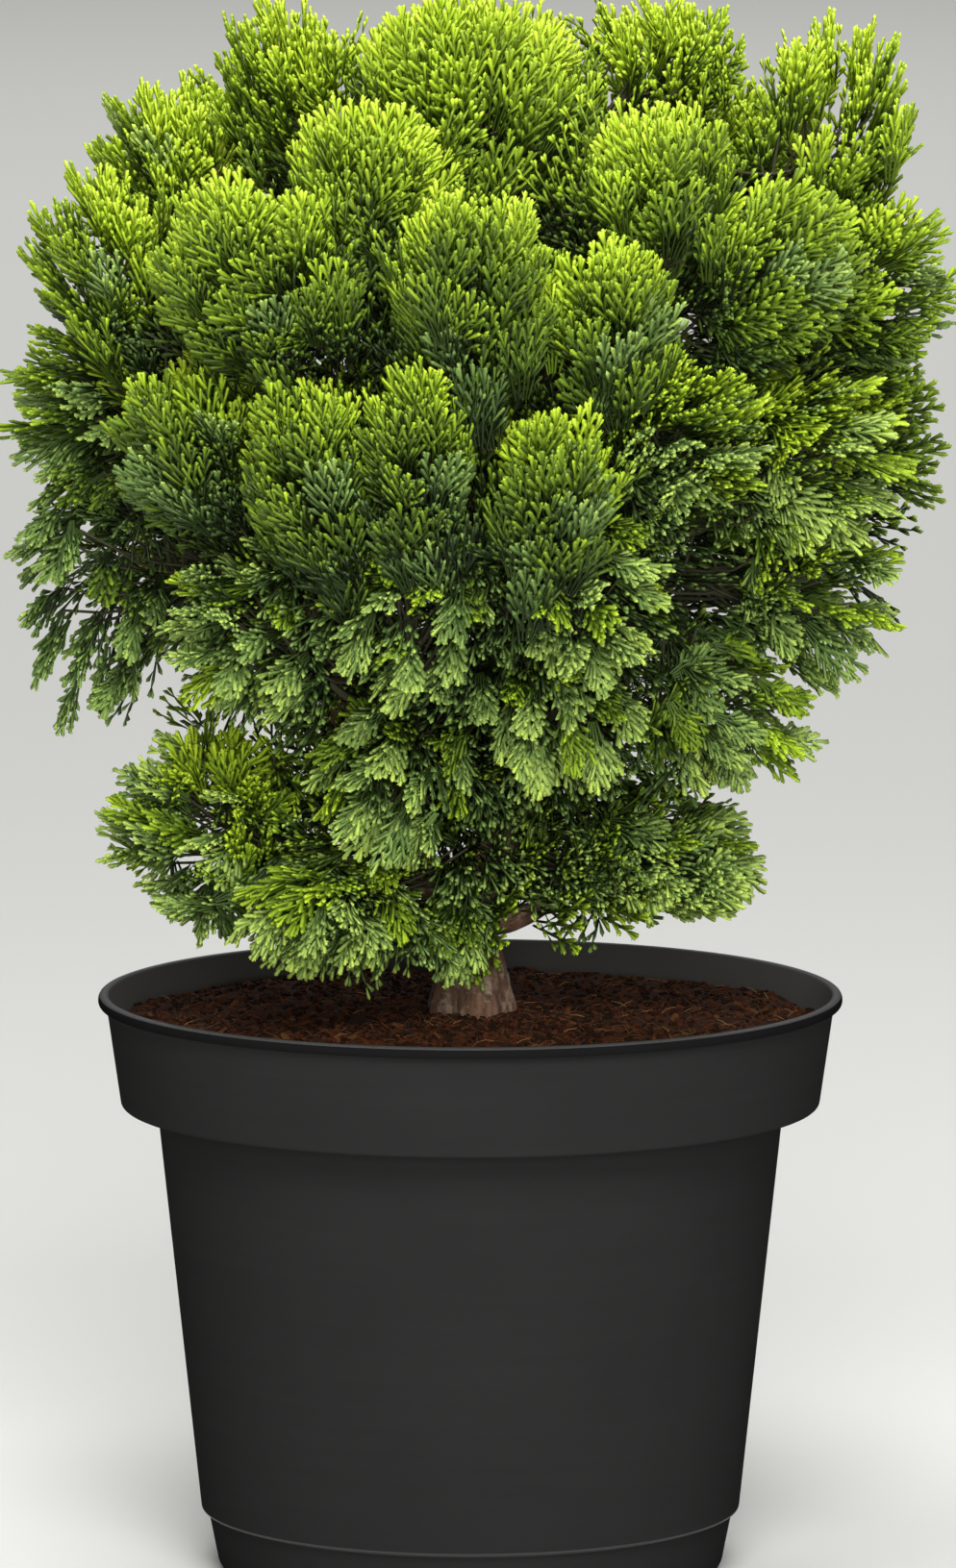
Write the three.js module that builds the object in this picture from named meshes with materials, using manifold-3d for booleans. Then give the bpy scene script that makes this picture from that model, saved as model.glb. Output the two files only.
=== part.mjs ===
// A dwarf hinoki cypress in a black nursery pot, at life size. Millimetres, +Z up, its front towards -Y.
// The origin is the middle of the pot's flat underside.
//
// A short leaning trunk with a root flare stands on the potting soil. It forks low, and its right
// leader runs on up through the crown. Boughs leave the trunk and its left limb in tiers. Each ends in
// a knuckle that carries the stems of two to four tufts. A tuft is a dense, scallop-shaped mass of
// flat, toothed sprays round a small core, and every tuft keeps to its own space in the crown.
import * as THREE from "three";
import { mergeVertices } from "three/addons/utils/BufferGeometryUtils.js";
import Module from "manifold-3d";

const wasm = await Module();
wasm.setup();

// ---------------------------------------------------------------- driving dimensions
const RIM_RADIUS = 95; // a 19 cm pot, measured over its rolled lip
const POT_HEIGHT = 148;
const POT_WALL = 1.6;
const POT_SEGMENTS = 32;
const CLEARANCE = 0.35; // between pieces that touch on the real plant

const SOIL_EDGE = 140.5; // height of the soil where it meets the pot
const SOIL_CROWN = 144; // height of the soil round the trunk

const TRUNK_FOOT = SOIL_CROWN + CLEARANCE;
const TRUNK_RADIUS = 8.2; // just above the root flare
const TRUNK_TIP_RADIUS = 2.4;
const ROOT_FLARE = 0.6; // how much wider the foot is than the trunk above it
const ROOT_LOBES = 5;
const FLARE_END = 0.14; // how far up the trunk the flare fades out, as a share of its length

const KNUCKLE_RADIUS = 3.3; // the swelling at a limb's tip that its stems leave from
const STEM_RADIUS = 1.1;
const STEM_TIP_RADIUS = 0.8;

const SPRAY_TEETH = 5;
const SPRAY_NOTCH = 0.7; // how far out the notches between the teeth are, as a share of its length
const SPRAY_ROUNDING = 0.12; // how much shorter the outermost teeth are, as a share of its length
const SPRAY_THICKNESS = 2.2; // at its middle
const SPRAY_ROLL = 0.8; // how far a spray may turn about its own length, in radians
const SPRAY_TURN = 0.5; // how far a spray may stray round its tuft's pole, in radians
const SPRAY_TILT = 0.4; // how much a spray's flat side leans out from the crown
const SPRAY_STALK = 4;
const SPRAY_FAN = THREE.MathUtils.degToRad(40); // half the angle that a spray fans out over
const SPRAY_SINK = 4; // how deep a spray's stalk is sunk in the core
const SPRAY_REACHES = [1.2, 1.1, 1, 0.88]; // where its tip may be, as shares of its tuft's radii
const SPRAYS_PER_AREA = 6.2 / (21 * 21); // sprays for each square millimetre of spread times rise
const FOOT_DEPTH = 1.25; // how far below a tuft's middle its sprays fan out from, as a share of its rise
const CORE_SHARE = 1; // the core's radii as a share of the tuft's
const CORE_SET_BACK = 0.55; // how far the core sits back from the tuft's middle, as a share of its spread
const CORE_TAIL = 0.8; // how far back along the stem the core tapers
const CORE_TAPER = 0.6; // how much narrower it is there
const CORE_ROOM = 1; // between a core and the limbs near it
const DRAW_IN = 0.92; // each step by which a core's point with too little room is drawn in
const TUFT_OPENING = THREE.MathUtils.degToRad(105); // how far round from its pole a tuft bears sprays
const GOLDEN_ANGLE = Math.PI * (3 - Math.sqrt(5));
const LOWEST_TIP = SOIL_CROWN + 8;

const UP = new THREE.Vector3(0, 0, 1);

// ---------------------------------------------------------------- materials
const FINISHES = {
  pot: new THREE.MeshStandardMaterial({ color: 0x2c2c2c, roughness: 0.5, metalness: 0 }),
  soil: new THREE.MeshStandardMaterial({ color: 0x3a2116, roughness: 0.95, metalness: 0 }),
  bark: new THREE.MeshStandardMaterial({ color: 0x6b4433, roughness: 0.85, metalness: 0 }),
  foliage: new THREE.MeshStandardMaterial({ color: 0x6f9a1f, roughness: 0.6, metalness: 0 }),
};

// ---------------------------------------------------------------- solids
function toSolid(geometry) {
  const bare = geometry.clone();
  bare.deleteAttribute("normal");
  bare.deleteAttribute("uv");
  const merged = mergeVertices(bare, 1e-4);
  return new wasm.Manifold(
    new wasm.Mesh({
      numProp: 3,
      vertProperties: merged.getAttribute("position").array,
      triVerts: new Uint32Array(merged.index.array),
    }),
  );
}

// The largest body of a solid as a geometry, so that a loose scrap left by a cut is dropped.
function toGeometry(solid) {
  const bodies = solid.decompose().sort((a, b) => b.volume() - a.volume());
  const mesh = bodies[0].getMesh();
  const geometry = new THREE.BufferGeometry();
  geometry.setAttribute("position", new THREE.BufferAttribute(mesh.vertProperties, 3));
  geometry.setIndex(new THREE.BufferAttribute(mesh.triVerts, 1));
  geometry.computeVertexNormals();
  return geometry;
}

const plant = new THREE.Group();

function addPiece(name, geometry, finish) {
  const mesh = new THREE.Mesh(geometry, FINISHES[finish]);
  mesh.name = name;
  plant.add(mesh);
}

// Numbers from 0 to 1 that a seed fixes (mulberry32).
function seededDraws(seed) {
  let state = seed;
  return () => {
    state = (state + 0x6d2b79f5) | 0;
    let mixed = Math.imul(state ^ (state >>> 15), 1 | state);
    mixed = (mixed + Math.imul(mixed ^ (mixed >>> 7), 61 | mixed)) ^ mixed;
    return ((mixed ^ (mixed >>> 14)) >>> 0) / 2 ** 32;
  };
}

// ---------------------------------------------------------------- pot
// A thermoformed nursery pot: a stacking foot, a tapered body, a wide band under the rim and a rolled
// lip. Its floor is flat underneath and has a ring of drain holes.
const BASE_RADIUS = 64.2;
const FOOT_HEIGHT = 15; // of the stacking foot
const FOOT_RADIUS = 67.2; // at the foot's top
const FOOT_STEP = 1.6; // how far the body stands out over the foot
const BAND_FOOT = 119.3; // height of the step under the wide band
const BODY_RADIUS = 79.9; // at the body's top, under the band
const BAND_RADIUS = 89; // at the band's lower edge
const BAND_TOP_RADIUS = 92.6;
const LIP_HEIGHT = 3.6;
const LIP_CHAMFER = 0.7;
const FLOOR_THICKNESS = 2;
const OUTER_WALL = [
  [BASE_RADIUS, 0],
  [FOOT_RADIUS, FOOT_HEIGHT],
  [FOOT_RADIUS + FOOT_STEP, FOOT_HEIGHT],
  [BODY_RADIUS, BAND_FOOT],
  [BAND_RADIUS, BAND_FOOT],
  [BAND_TOP_RADIUS, POT_HEIGHT - LIP_HEIGHT],
  [RIM_RADIUS, POT_HEIGHT - LIP_HEIGHT + LIP_CHAMFER],
  [RIM_RADIUS - LIP_CHAMFER, POT_HEIGHT],
];
const INNER_WALL = [
  [BAND_TOP_RADIUS - POT_WALL + LIP_CHAMFER, POT_HEIGHT],
  [BAND_RADIUS - POT_WALL, BAND_FOOT + POT_WALL],
  [BODY_RADIUS - POT_WALL, BAND_FOOT],
  [FOOT_RADIUS - POT_WALL, FOOT_HEIGHT],
  [BASE_RADIUS - POT_WALL, FLOOR_THICKNESS],
];
const DRAIN_HOLES = 8;
const DRAIN_RADIUS = 3;
const DRAIN_RING = 52;

function lathe(profile, segments) {
  const points = profile.map(([radius, height]) => new THREE.Vector2(radius, height));
  return new THREE.LatheGeometry(points, segments).rotateX(Math.PI / 2);
}

function potGeometry() {
  const profile = [[0, 0], ...OUTER_WALL, ...INNER_WALL, [0, FLOOR_THICKNESS]];
  let pot = toSolid(lathe(profile, POT_SEGMENTS));
  for (let i = 0; i < DRAIN_HOLES; i++) {
    const turn = (2 * Math.PI * i) / DRAIN_HOLES;
    const drill = new THREE.CylinderGeometry(DRAIN_RADIUS, DRAIN_RADIUS, 4 * FLOOR_THICKNESS, 6)
      .rotateX(Math.PI / 2)
      .translate(DRAIN_RING * Math.cos(turn), DRAIN_RING * Math.sin(turn), FLOOR_THICKNESS / 2);
    pot = pot.subtract(toSolid(drill));
  }
  return toGeometry(pot);
}

addPiece("pot", potGeometry(), "pot");

// ---------------------------------------------------------------- soil
// Bark and coir potting mix, filled to just under the rim, a little crowned and uneven, with a level
// patch where the trunk's foot stands.
const SOIL_RINGS = [18, 42, 62, 80];
const SOIL_BUMPS = [0.9, 0.6]; // the height of its broad and its narrow bumps

// The radius inside the pot at a height.
function innerRadius(height) {
  const above = INNER_WALL.findIndex(([, z]) => z <= height) - 1;
  const [[r1, z1], [r0, z0]] = [INNER_WALL[above], INNER_WALL[above + 1]];
  return r0 + ((r1 - r0) * (height - z0)) / (z1 - z0);
}

function soilHeight(x, y) {
  const out = Math.hypot(x, y);
  const rim = innerRadius(SOIL_EDGE);
  const dome = SOIL_EDGE + (SOIL_CROWN - SOIL_EDGE) * (1 - (out / rim) ** 2);
  const broad = SOIL_BUMPS[0] * Math.sin(0.13 * x + 1) * Math.cos(0.11 * y);
  const narrow = SOIL_BUMPS[1] * Math.sin(0.31 * y - 0.2 * x);
  return out < SOIL_RINGS[0] + 1 ? SOIL_CROWN : dome + broad + narrow;
}

function soilGeometry() {
  const wall = INNER_WALL.filter(([, z]) => z < SOIL_EDGE).reverse();
  const side = [...wall, [innerRadius(SOIL_EDGE), SOIL_EDGE]].map(([r, z]) => [r - CLEARANCE, z]);
  side[0][1] += CLEARANCE;
  const top = SOIL_RINGS.map((r) => [r, SOIL_CROWN]).reverse();
  const geometry = lathe([[0, side[0][1]], ...side, ...top, [0, SOIL_CROWN]], POT_SEGMENTS);
  const position = geometry.getAttribute("position");
  for (let i = 0; i < position.count; i++) {
    const [x, y, z] = [position.getX(i), position.getY(i), position.getZ(i)];
    const onTop = z > SOIL_EDGE + 1;
    if (onTop) position.setZ(i, soilHeight(x, y));
  }
  return toGeometry(toSolid(geometry));
}

addPiece("soil", soilGeometry(), "soil");

// ---------------------------------------------------------------- limbs
// A limb is a tapered tube along a smooth path, with a knuckle at its tip. `grow` makes it that much
// larger all round, to cut its neighbours clear of it.
function tubeGeometry(limb, grow) {
  const curve = limb.curve;
  const frames = curve.computeFrenetFrames(limb.steps, false);
  const geometry = new THREE.CylinderGeometry(1, 1, 1, limb.sides, limb.steps);
  const position = geometry.getAttribute("position");
  for (let i = 0; i < position.count; i++) {
    const step = Math.round((position.getY(i) + 0.5) * limb.steps);
    const along = step / limb.steps;
    const angle = Math.atan2(position.getZ(i), position.getX(i));
    const onWall = Math.hypot(position.getX(i), position.getZ(i)) > 0.5;
    const radius = onWall ? limb.radiusAt(along, angle) + grow : 0;
    const point = curve
      .getPointAt(along)
      .addScaledVector(frames.binormals[step], radius * Math.cos(angle))
      .addScaledVector(frames.normals[step], radius * Math.sin(angle));
    if (step === 0 && limb.footHeight) point.z = limb.footHeight;
    position.setXYZ(i, point.x, point.y, point.z);
  }
  return geometry;
}

function limbSolid(limb, grow = 0) {
  const tip = limb.curve.getPointAt(1);
  const knuckle = new THREE.IcosahedronGeometry(KNUCKLE_RADIUS + grow).translate(tip.x, tip.y, tip.z);
  return toSolid(tubeGeometry(limb, grow)).add(toSolid(knuckle));
}

// The point on a limb's axis at a height.
function pointAtHeight(limb, height) {
  let [low, high] = [0, 1];
  for (let i = 0; i < 30; i++) {
    const middle = (low + high) / 2;
    if (limb.curve.getPointAt(middle).z < height) low = middle;
    else high = middle;
  }
  return limb.curve.getPointAt(low);
}

const taper = (from, to) => (along) => from + (to - from) * along;

function trunkRadius(along, angle) {
  const flare = ROOT_FLARE * Math.max(0, 1 - along / FLARE_END) ** 2;
  const lobe = 0.75 + 0.25 * Math.cos(ROOT_LOBES * angle);
  return taper(TRUNK_RADIUS, TRUNK_TIP_RADIUS)(along ** 0.75) * (1 + flare * lobe);
}

const at = (x, y, z) => new THREE.Vector3(x, y, z);

const limbs = {};
limbs.trunk = {
  node: "trunk",
  curve: new THREE.CatmullRomCurve3([
    at(0, 0, TRUNK_FOOT),
    at(0, 0, 152),
    at(-1, 0, 170),
    at(9, 1, 188),
    at(13, 2, 206),
    at(11, 3, 252),
    at(7, 4, 300),
    at(3, 5, 346),
  ]),
  radiusAt: trunkRadius,
  sides: 8,
  steps: 16,
  footHeight: TRUNK_FOOT,
};

limbs.left = {
  node: "left_limb",
  parent: "trunk",
  curve: new THREE.CatmullRomCurve3([
    at(-1, 0, 168),
    at(-14, -3, 182),
    at(-26, -4, 200),
    at(-36, -5, 240),
    at(-42, -6, 280),
    at(-46, -6, 318),
  ]),
  radiusAt: taper(5.6, 2.4),
  sides: 6,
  steps: 7,
};

// ---------------------------------------------------------------- tufts
// Each tier of the crown is a ring of tufts round its axis. `ring` is how far a tuft's middle is from
// the axis, `spread` and `rise` are its half width and half height, and `lift` is the angle in degrees
// that its sprays climb at. A row holds a tuft's name, its azimuth in degrees, with 0 at the front and
// 90 at the right, the limb that carries it, and what it doesn't share with its tier.
const TIERS = [
  {
    ring: 50, height: 383, spread: 24, rise: 21, lift: 78,
    tufts: [
      ["top_left", -84, "trunk", { spread: 18, rise: 22 }],
      ["top_front", 0, "trunk", { ring: 15, height: 380, spread: 29, rise: 26 }],
      ["top_right", 110, "trunk", { ring: 53, height: 385, rise: 19 }],
      ["top_back", 180, "trunk", { ring: 56, height: 376, spread: 27 }],
    ],
  },
  {
    ring: 79, height: 362, spread: 22, rise: 20, lift: 66,
    tufts: [
      ["shoulder_left", -94, "left"],
      ["shoulder_front_left", -24, "upper_front", { ring: 63 }],
      ["shoulder_front_right", 38, "upper_right", { ring: 76 }],
      ["shoulder_right", 90, "right", { ring: 97, height: 371, spread: 18, rise: 24 }],
    ],
  },
  {
    ring: 93, height: 338, spread: 21, rise: 22, lift: 56,
    tufts: [
      ["upper_left", -75, "left", { ring: 96 }],
      ["upper_front_left", -36, "upper_front", { spread: 28, rise: 26 }],
      ["upper_front", 0, "upper_front", { rise: 25 }],
      ["upper_front_right", 22, "upper_right", { ring: 95, height: 328, spread: 19 }],
      ["upper_right", 56, "upper_right", { spread: 24, rise: 24 }],
      ["upper_far_right", 93, "right", { ring: 105, height: 330, spread: 18 }],
      ["upper_back_right", 134, "upper_back", { ring: 88, height: 350, spread: 28, rise: 26 }],
      ["upper_back", 180, "upper_back", { height: 342, spread: 27, rise: 26 }],
      ["upper_back_left", -132, "upper_back", { ring: 88, height: 350, spread: 28, rise: 26 }],
    ],
  },
  {
    ring: 100, height: 295, spread: 19, rise: 21, lift: 42,
    tufts: [
      ["middle_left", -81, "left", { height: 298, spread: 20 }],
      ["middle_front_left", -48, "middle_left", { ring: 97, spread: 20 }],
      ["middle_fan_left", -25, "middle_left", { ring: 102, height: 292, spread: 16, rise: 24 }],
      ["middle_fan_front", -7, "middle_front", { ring: 104, height: 298, spread: 15, rise: 24 }],
      ["middle_front_right", 12, "middle_front", { ring: 103, height: 289, spread: 17 }],
      ["middle_right", 34, "middle_right", { ring: 98, height: 298, spread: 22 }],
      ["middle_far_right", 69, "middle_right", { ring: 96, height: 288, spread: 24, rise: 23 }],
      ["middle_back_right", 114, "middle_back", { ring: 96, height: 294, spread: 28, rise: 27 }],
      ["middle_back", 172, "middle_back", { ring: 100, height: 291, spread: 28, rise: 26 }],
      ["middle_back_left", -124, "middle_back", { ring: 98, height: 296, spread: 28, rise: 27 }],
    ],
  },
  {
    ring: 87, height: 254, spread: 22, rise: 20, lift: 20,
    tufts: [
      ["low_left", -79, "middle_left", { ring: 94, height: 257, spread: 24, rise: 24 }],
      ["low_front_left", -41, "low_front", { ring: 86, height: 250 }],
      ["low_front", -11, "low_front", { rise: 21, spread: 21 }],
      ["low_front_right", 20, "low_right", { ring: 90, height: 260, spread: 21 }],
      ["low_right", 74, "middle_right", { ring: 88, height: 254, spread: 24 }],
      ["low_back_right", 137, "low_back", { ring: 82, height: 248, spread: 30, rise: 24 }],
      ["low_back_left", -138, "low_back", { ring: 82, height: 250, spread: 30, rise: 24 }],
    ],
  },
  {
    ring: 60, height: 220, spread: 22, rise: 18, lift: 2,
    tufts: [
      ["lower_front_left", -23, "low_front", { ring: 55, height: 209, rise: 21 }],
      ["lower_front_right", 22, "low_right", { ring: 65, height: 225 }],
      ["lower_right", 64, "low_right", { ring: 71, height: 224, spread: 26, rise: 22 }],
      ["lower_back", 178, "low_back", { ring: 50, height: 212, spread: 30, rise: 22 }],
    ],
  },
  {
    ring: 52, height: 184, spread: 24, rise: 15, lift: -8,
    tufts: [
      ["bottom_left", -78, "bottom_left", { ring: 68, height: 193, spread: 27, rise: 24, lift: 12 }],
      ["bottom_front_left", -44, "bottom_left", { ring: 54, height: 173, spread: 26, rise: 17 }],
      ["bottom_right", 80, "bottom_right", { ring: 52, height: 180, spread: 28, rise: 18 }],
      ["bottom_sprig", -4, "trunk", { ring: 24, height: 166, spread: 12, rise: 12, from: 160 }],
    ],
  },
];

const AXIS_DEPTH = 2; // the crown's axis stands this far behind the pot's

const tufts = [];
for (const { tufts: members, ...tier } of TIERS) {
  for (const [name, azimuth, limb, own] of members) {
    const tuft = { ...tier, ...own, name, azimuth, limb, seed: tufts.length + 1 };
    const [turn, climb] = [tuft.azimuth, tuft.lift].map(THREE.MathUtils.degToRad);
    tuft.outward = at(Math.sin(turn), -Math.cos(turn), 0);
    tuft.middle = tuft.outward.clone().multiplyScalar(tuft.ring).add(at(0, AXIS_DEPTH, tuft.height));
    tuft.growth = tuft.outward.clone().multiplyScalar(Math.cos(climb)).addScaledVector(UP, Math.sin(climb));
    tufts.push(tuft);
  }
}

// ---------------------------------------------------------------- boughs
// A bough leaves its parent at the height `from`, and ends at a share `reach` of the way from the
// crown's axis to the tufts that it carries, `drop` below them.
const BOUGHS = [
  { name: "upper_front", parent: "trunk", from: 284 },
  { name: "upper_right", parent: "trunk", from: 296 },
  { name: "right", parent: "trunk", from: 272, reach: 0.6 },
  { name: "upper_back", parent: "trunk", from: 290, reach: 0.55 },
  { name: "middle_left", parent: "left", from: 232, reach: 0.6 },
  { name: "middle_front", parent: "trunk", from: 244, reach: 0.52 },
  { name: "middle_right", parent: "trunk", from: 258 },
  { name: "middle_back", parent: "trunk", from: 240, reach: 0.6 },
  { name: "low_front", parent: "trunk", from: 203 },
  { name: "low_right", parent: "trunk", from: 210, reach: 0.6 },
  { name: "low_back", parent: "trunk", from: 196, reach: 0.6 },
  { name: "bottom_left", parent: "left", from: 183, reach: 0.62, drop: 2 },
  { name: "bottom_right", parent: "trunk", from: 164, reach: 0.5, drop: 6 },
];
const BOUGH_RADIUS = 3.4;
const BOUGH_TIP_RADIUS = 2;
const BOUGH_SAG = 0.08; // how far a bough bellies below its chord, as a share of its length

for (const { name, parent, from, reach = 0.5, drop = 16 } of BOUGHS) {
  const carried = tufts.filter((tuft) => tuft.limb === name);
  const middle = at(0, 0, 0);
  for (const tuft of carried) middle.addScaledVector(tuft.middle, 1 / carried.length);
  const start = pointAtHeight(limbs[parent], from);
  const tip = at(middle.x * reach, middle.y * reach, middle.z - drop);
  const belly = start.clone().lerp(tip, 0.5);
  belly.z -= BOUGH_SAG * start.distanceTo(tip);
  limbs[name] = {
    node: "bough_" + name,
    parent,
    curve: new THREE.CatmullRomCurve3([start, belly, tip]),
    radiusAt: taper(BOUGH_RADIUS, BOUGH_TIP_RADIUS),
    sides: 5,
    steps: 4,
  };
}

for (const limb of Object.values(limbs)) {
  const whole = limbSolid(limb);
  const solid = limb.parent ? whole.subtract(limbSolid(limbs[limb.parent], CLEARANCE)) : whole;
  addPiece(limb.node, toGeometry(solid), "bark");
}

// ---------------------------------------------------------------- tuft stems and spaces
// A stem runs from its limb's knuckle, or from the trunk at the height `from`, into its tuft.
for (const tuft of tufts) {
  const limb = limbs[tuft.limb];
  tuft.root = tuft.from ? pointAtHeight(limb, tuft.from) : limb.curve.getPointAt(1);
  tuft.foot = tuft.middle.clone().addScaledVector(tuft.growth, -FOOT_DEPTH * tuft.rise);
  tuft.pole = tuft.outward.clone().add(tuft.growth).normalize();
  tuft.core = tuft.middle.clone().addScaledVector(tuft.pole, -CORE_SET_BACK * tuft.spread);
  tuft.coreRadii = at(tuft.spread, tuft.spread, tuft.rise).multiplyScalar(CORE_SHARE);
}

// Every limb and stem as short straight links, to keep sprays and cores clear of them.
const links = [];
for (const limb of Object.values(limbs)) {
  const points = limb.curve.getSpacedPoints(2 * limb.steps);
  const tip = points.at(-1);
  for (let i = 0; i < points.length - 1; i++) {
    const radius = limb.radiusAt(i / (points.length - 1), 0);
    links.push({ line: new THREE.Line3(points[i], points[i + 1]), radius });
  }
  links.push({ line: new THREE.Line3(tip, tip), radius: KNUCKLE_RADIUS });
}
for (const tuft of tufts)
  links.push({ tuft, line: new THREE.Line3(tuft.root, tuft.core), radius: STEM_RADIUS });

// Room between a point of a tuft and the nearest limb or stem of another tuft.
function roomAt(point, tuft) {
  let room = Infinity;
  const nearest = at(0, 0, 0);
  for (const link of links) {
    if (link.tuft === tuft) continue;
    link.line.closestPointToPoint(point, true, nearest);
    room = Math.min(room, nearest.distanceTo(point) - link.radius);
  }
  return room;
}

// How far a point lies inside a tuft's own space: the side of the crown that is nearer to it than to
// its neighbours, each weighed by its size.
function depthInSpace(point, tuft) {
  let depth = Infinity;
  for (const other of tufts) {
    if (other === tuft) continue;
    const across = other.middle.clone().sub(tuft.middle);
    const share = (tuft.spread + tuft.rise) / (tuft.spread + tuft.rise + other.spread + other.rise);
    const limit = across.length() * share;
    depth = Math.min(depth, limit - point.clone().sub(tuft.middle).dot(across.normalize()));
  }
  return depth;
}

// ---------------------------------------------------------------- sprays
// A flat spray: a short stalk that opens into a fan with pointed teeth, thickest at its middle and thin
// at its edge. It lies in its own XY plane and grows along +Y from the origin. It is a sphere of two
// rows of faces, with its poles pressed flat and its equator drawn out to the fan's outline.
function sprayGeometry(length) {
  const outline = [[SPRAY_STALK / 2, 0]];
  for (let i = 0; i < 2 * SPRAY_TEETH - 1; i++) {
    const share = 1 - i / (SPRAY_TEETH - 1); // 1 at the fan's right edge, and -1 at its left
    const reach = length * (i % 2 ? SPRAY_NOTCH : 1 - SPRAY_ROUNDING * share ** 2);
    outline.push([reach * Math.sin(SPRAY_FAN * share), reach * Math.cos(SPRAY_FAN * share)]);
  }
  outline.push([-SPRAY_STALK / 2, 0]);
  const blade = new THREE.SphereGeometry(1, outline.length, 2);
  const position = blade.getAttribute("position");
  for (let i = 0; i < position.count; i++) {
    const side = Math.round(position.getY(i));
    const [x, y] = side ? [0, length / 2] : outline[(i % (outline.length + 1)) % outline.length];
    position.setXYZ(i, x, y, (side * SPRAY_THICKNESS) / 2);
  }
  return blade;
}

// The sprays of a tuft by its seeded rule. Their tips lie on the tuft's rounded outline, turned by the
// golden angle from its pole outwards, and all of them fan out from the tuft's foot. A spray with no
// room at its full reach is tried closer in, and then skipped.
function spraysOf(tuft, core) {
  const draw = seededDraws(tuft.seed);
  const count = Math.round(SPRAYS_PER_AREA * tuft.spread * tuft.rise);
  const side = at(0, 0, 0).crossVectors(tuft.pole, UP).normalize();
  const front = at(0, 0, 0).crossVectors(side, tuft.pole);
  const found = [];
  for (let i = 0; i < count; i++) {
    const cosine = 1 - ((1 - Math.cos(TUFT_OPENING)) * (i + 0.5)) / count;
    const sine = Math.sqrt(1 - cosine * cosine);
    const turn = i * GOLDEN_ANGLE + SPRAY_TURN * draw();
    const facing = tuft.pole
      .clone()
      .multiplyScalar(cosine)
      .addScaledVector(side, sine * Math.cos(turn))
      .addScaledVector(front, sine * Math.sin(turn));
    const roll = SPRAY_ROLL * (2 * draw() - 1);
    const sprays = SPRAY_REACHES.map((reach) => sprayAt(tuft, core, facing, reach, roll));
    const spray = sprays.find((candidate) => candidate && hasRoom(candidate, tuft));
    if (spray) found.push(spray);
  }
  return found;
}

// The place of a spray whose tip faces one way from its tuft's middle. Its stalk is sunk in the core.
function sprayAt(tuft, core, facing, reach, roll) {
  const tip = at(tuft.spread, tuft.spread, tuft.rise).multiply(facing).multiplyScalar(reach);
  tip.add(tuft.middle);
  const along = tip.clone().sub(tuft.foot).normalize();
  const [hit] = new THREE.Raycaster(tip, along.clone().negate()).intersectObject(core);
  if (!hit) return null;
  const length = hit.distance + SPRAY_SINK;
  const normal = facing.clone().addScaledVector(tuft.outward, SPRAY_TILT);
  normal.addScaledVector(along, -normal.dot(along)).normalize().applyAxisAngle(along, roll);
  const across = at(0, 0, 0).crossVectors(along, normal);
  return { base: tip.addScaledVector(along, -length), along, across, normal, length };
}

// True if a spray stays in its tuft's space, off every limb and off the soil, at a grid of points over
// its fan.
function hasRoom({ base, along, across, length }, tuft) {
  const half = length * Math.sin(SPRAY_FAN);
  for (let row = 1; row <= 6; row++) {
    for (let column = -4; column <= 4; column++) {
      const [forwards, sideways] = [row / 6, column / 4];
      const point = base
        .clone()
        .addScaledVector(along, forwards * length * (1 - SPRAY_ROUNDING * sideways ** 2))
        .addScaledVector(across, sideways * forwards * half);
      if (depthInSpace(point, tuft) < SPRAY_THICKNESS / 2 + CLEARANCE) return false;
      if (roomAt(point, tuft) < SPRAY_THICKNESS || point.z < LOWEST_TIP) return false;
    }
  }
  return true;
}

// The core is rounded outwards and tapers back along the stem. It is drawn in wherever it would leave
// the tuft's space or come close to a limb.
function coreGeometry(tuft) {
  const stem = tuft.core.clone().sub(tuft.root);
  const tail = CORE_TAIL * stem.length();
  stem.normalize();
  const geometry = new THREE.OctahedronGeometry(1, 1);
  geometry.applyQuaternion(new THREE.Quaternion().setFromUnitVectors(at(0, 1, 0), stem));
  const position = geometry.getAttribute("position");
  for (let i = 0; i < position.count; i++) {
    const offset = at(position.getX(i), position.getY(i), position.getZ(i));
    const back = Math.max(0, -offset.dot(stem));
    offset.addScaledVector(stem, back);
    offset.multiply(tuft.coreRadii).multiplyScalar(1 - CORE_TAPER * back);
    offset.addScaledVector(stem, -back * tail);
    const point = () => tuft.core.clone().add(offset);
    const isTight = () => depthInSpace(point(), tuft) < CLEARANCE || roomAt(point(), tuft) < CORE_ROOM;
    while (isTight()) offset.multiplyScalar(DRAW_IN);
    position.setXYZ(i, ...point().toArray());
  }
  return geometry;
}

function stemGeometry({ root, core }, grow = 0) {
  const along = core.clone().sub(root);
  const stem = new THREE.CylinderGeometry(STEM_TIP_RADIUS + grow, STEM_RADIUS + grow, along.length(), 4);
  stem.applyQuaternion(new THREE.Quaternion().setFromUnitVectors(at(0, 1, 0), along.clone().normalize()));
  const halfway = root.clone().lerp(core, 0.5);
  return stem.translate(halfway.x, halfway.y, halfway.z);
}

// What a tuft's core is cut clear of: every limb, and the stems of the other tufts.
const limbSpaces = Object.values(limbs).map((limb) => limbSolid(limb, CLEARANCE));
for (const tuft of tufts) tuft.stemSpace = toSolid(stemGeometry(tuft, CLEARANCE));

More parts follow.
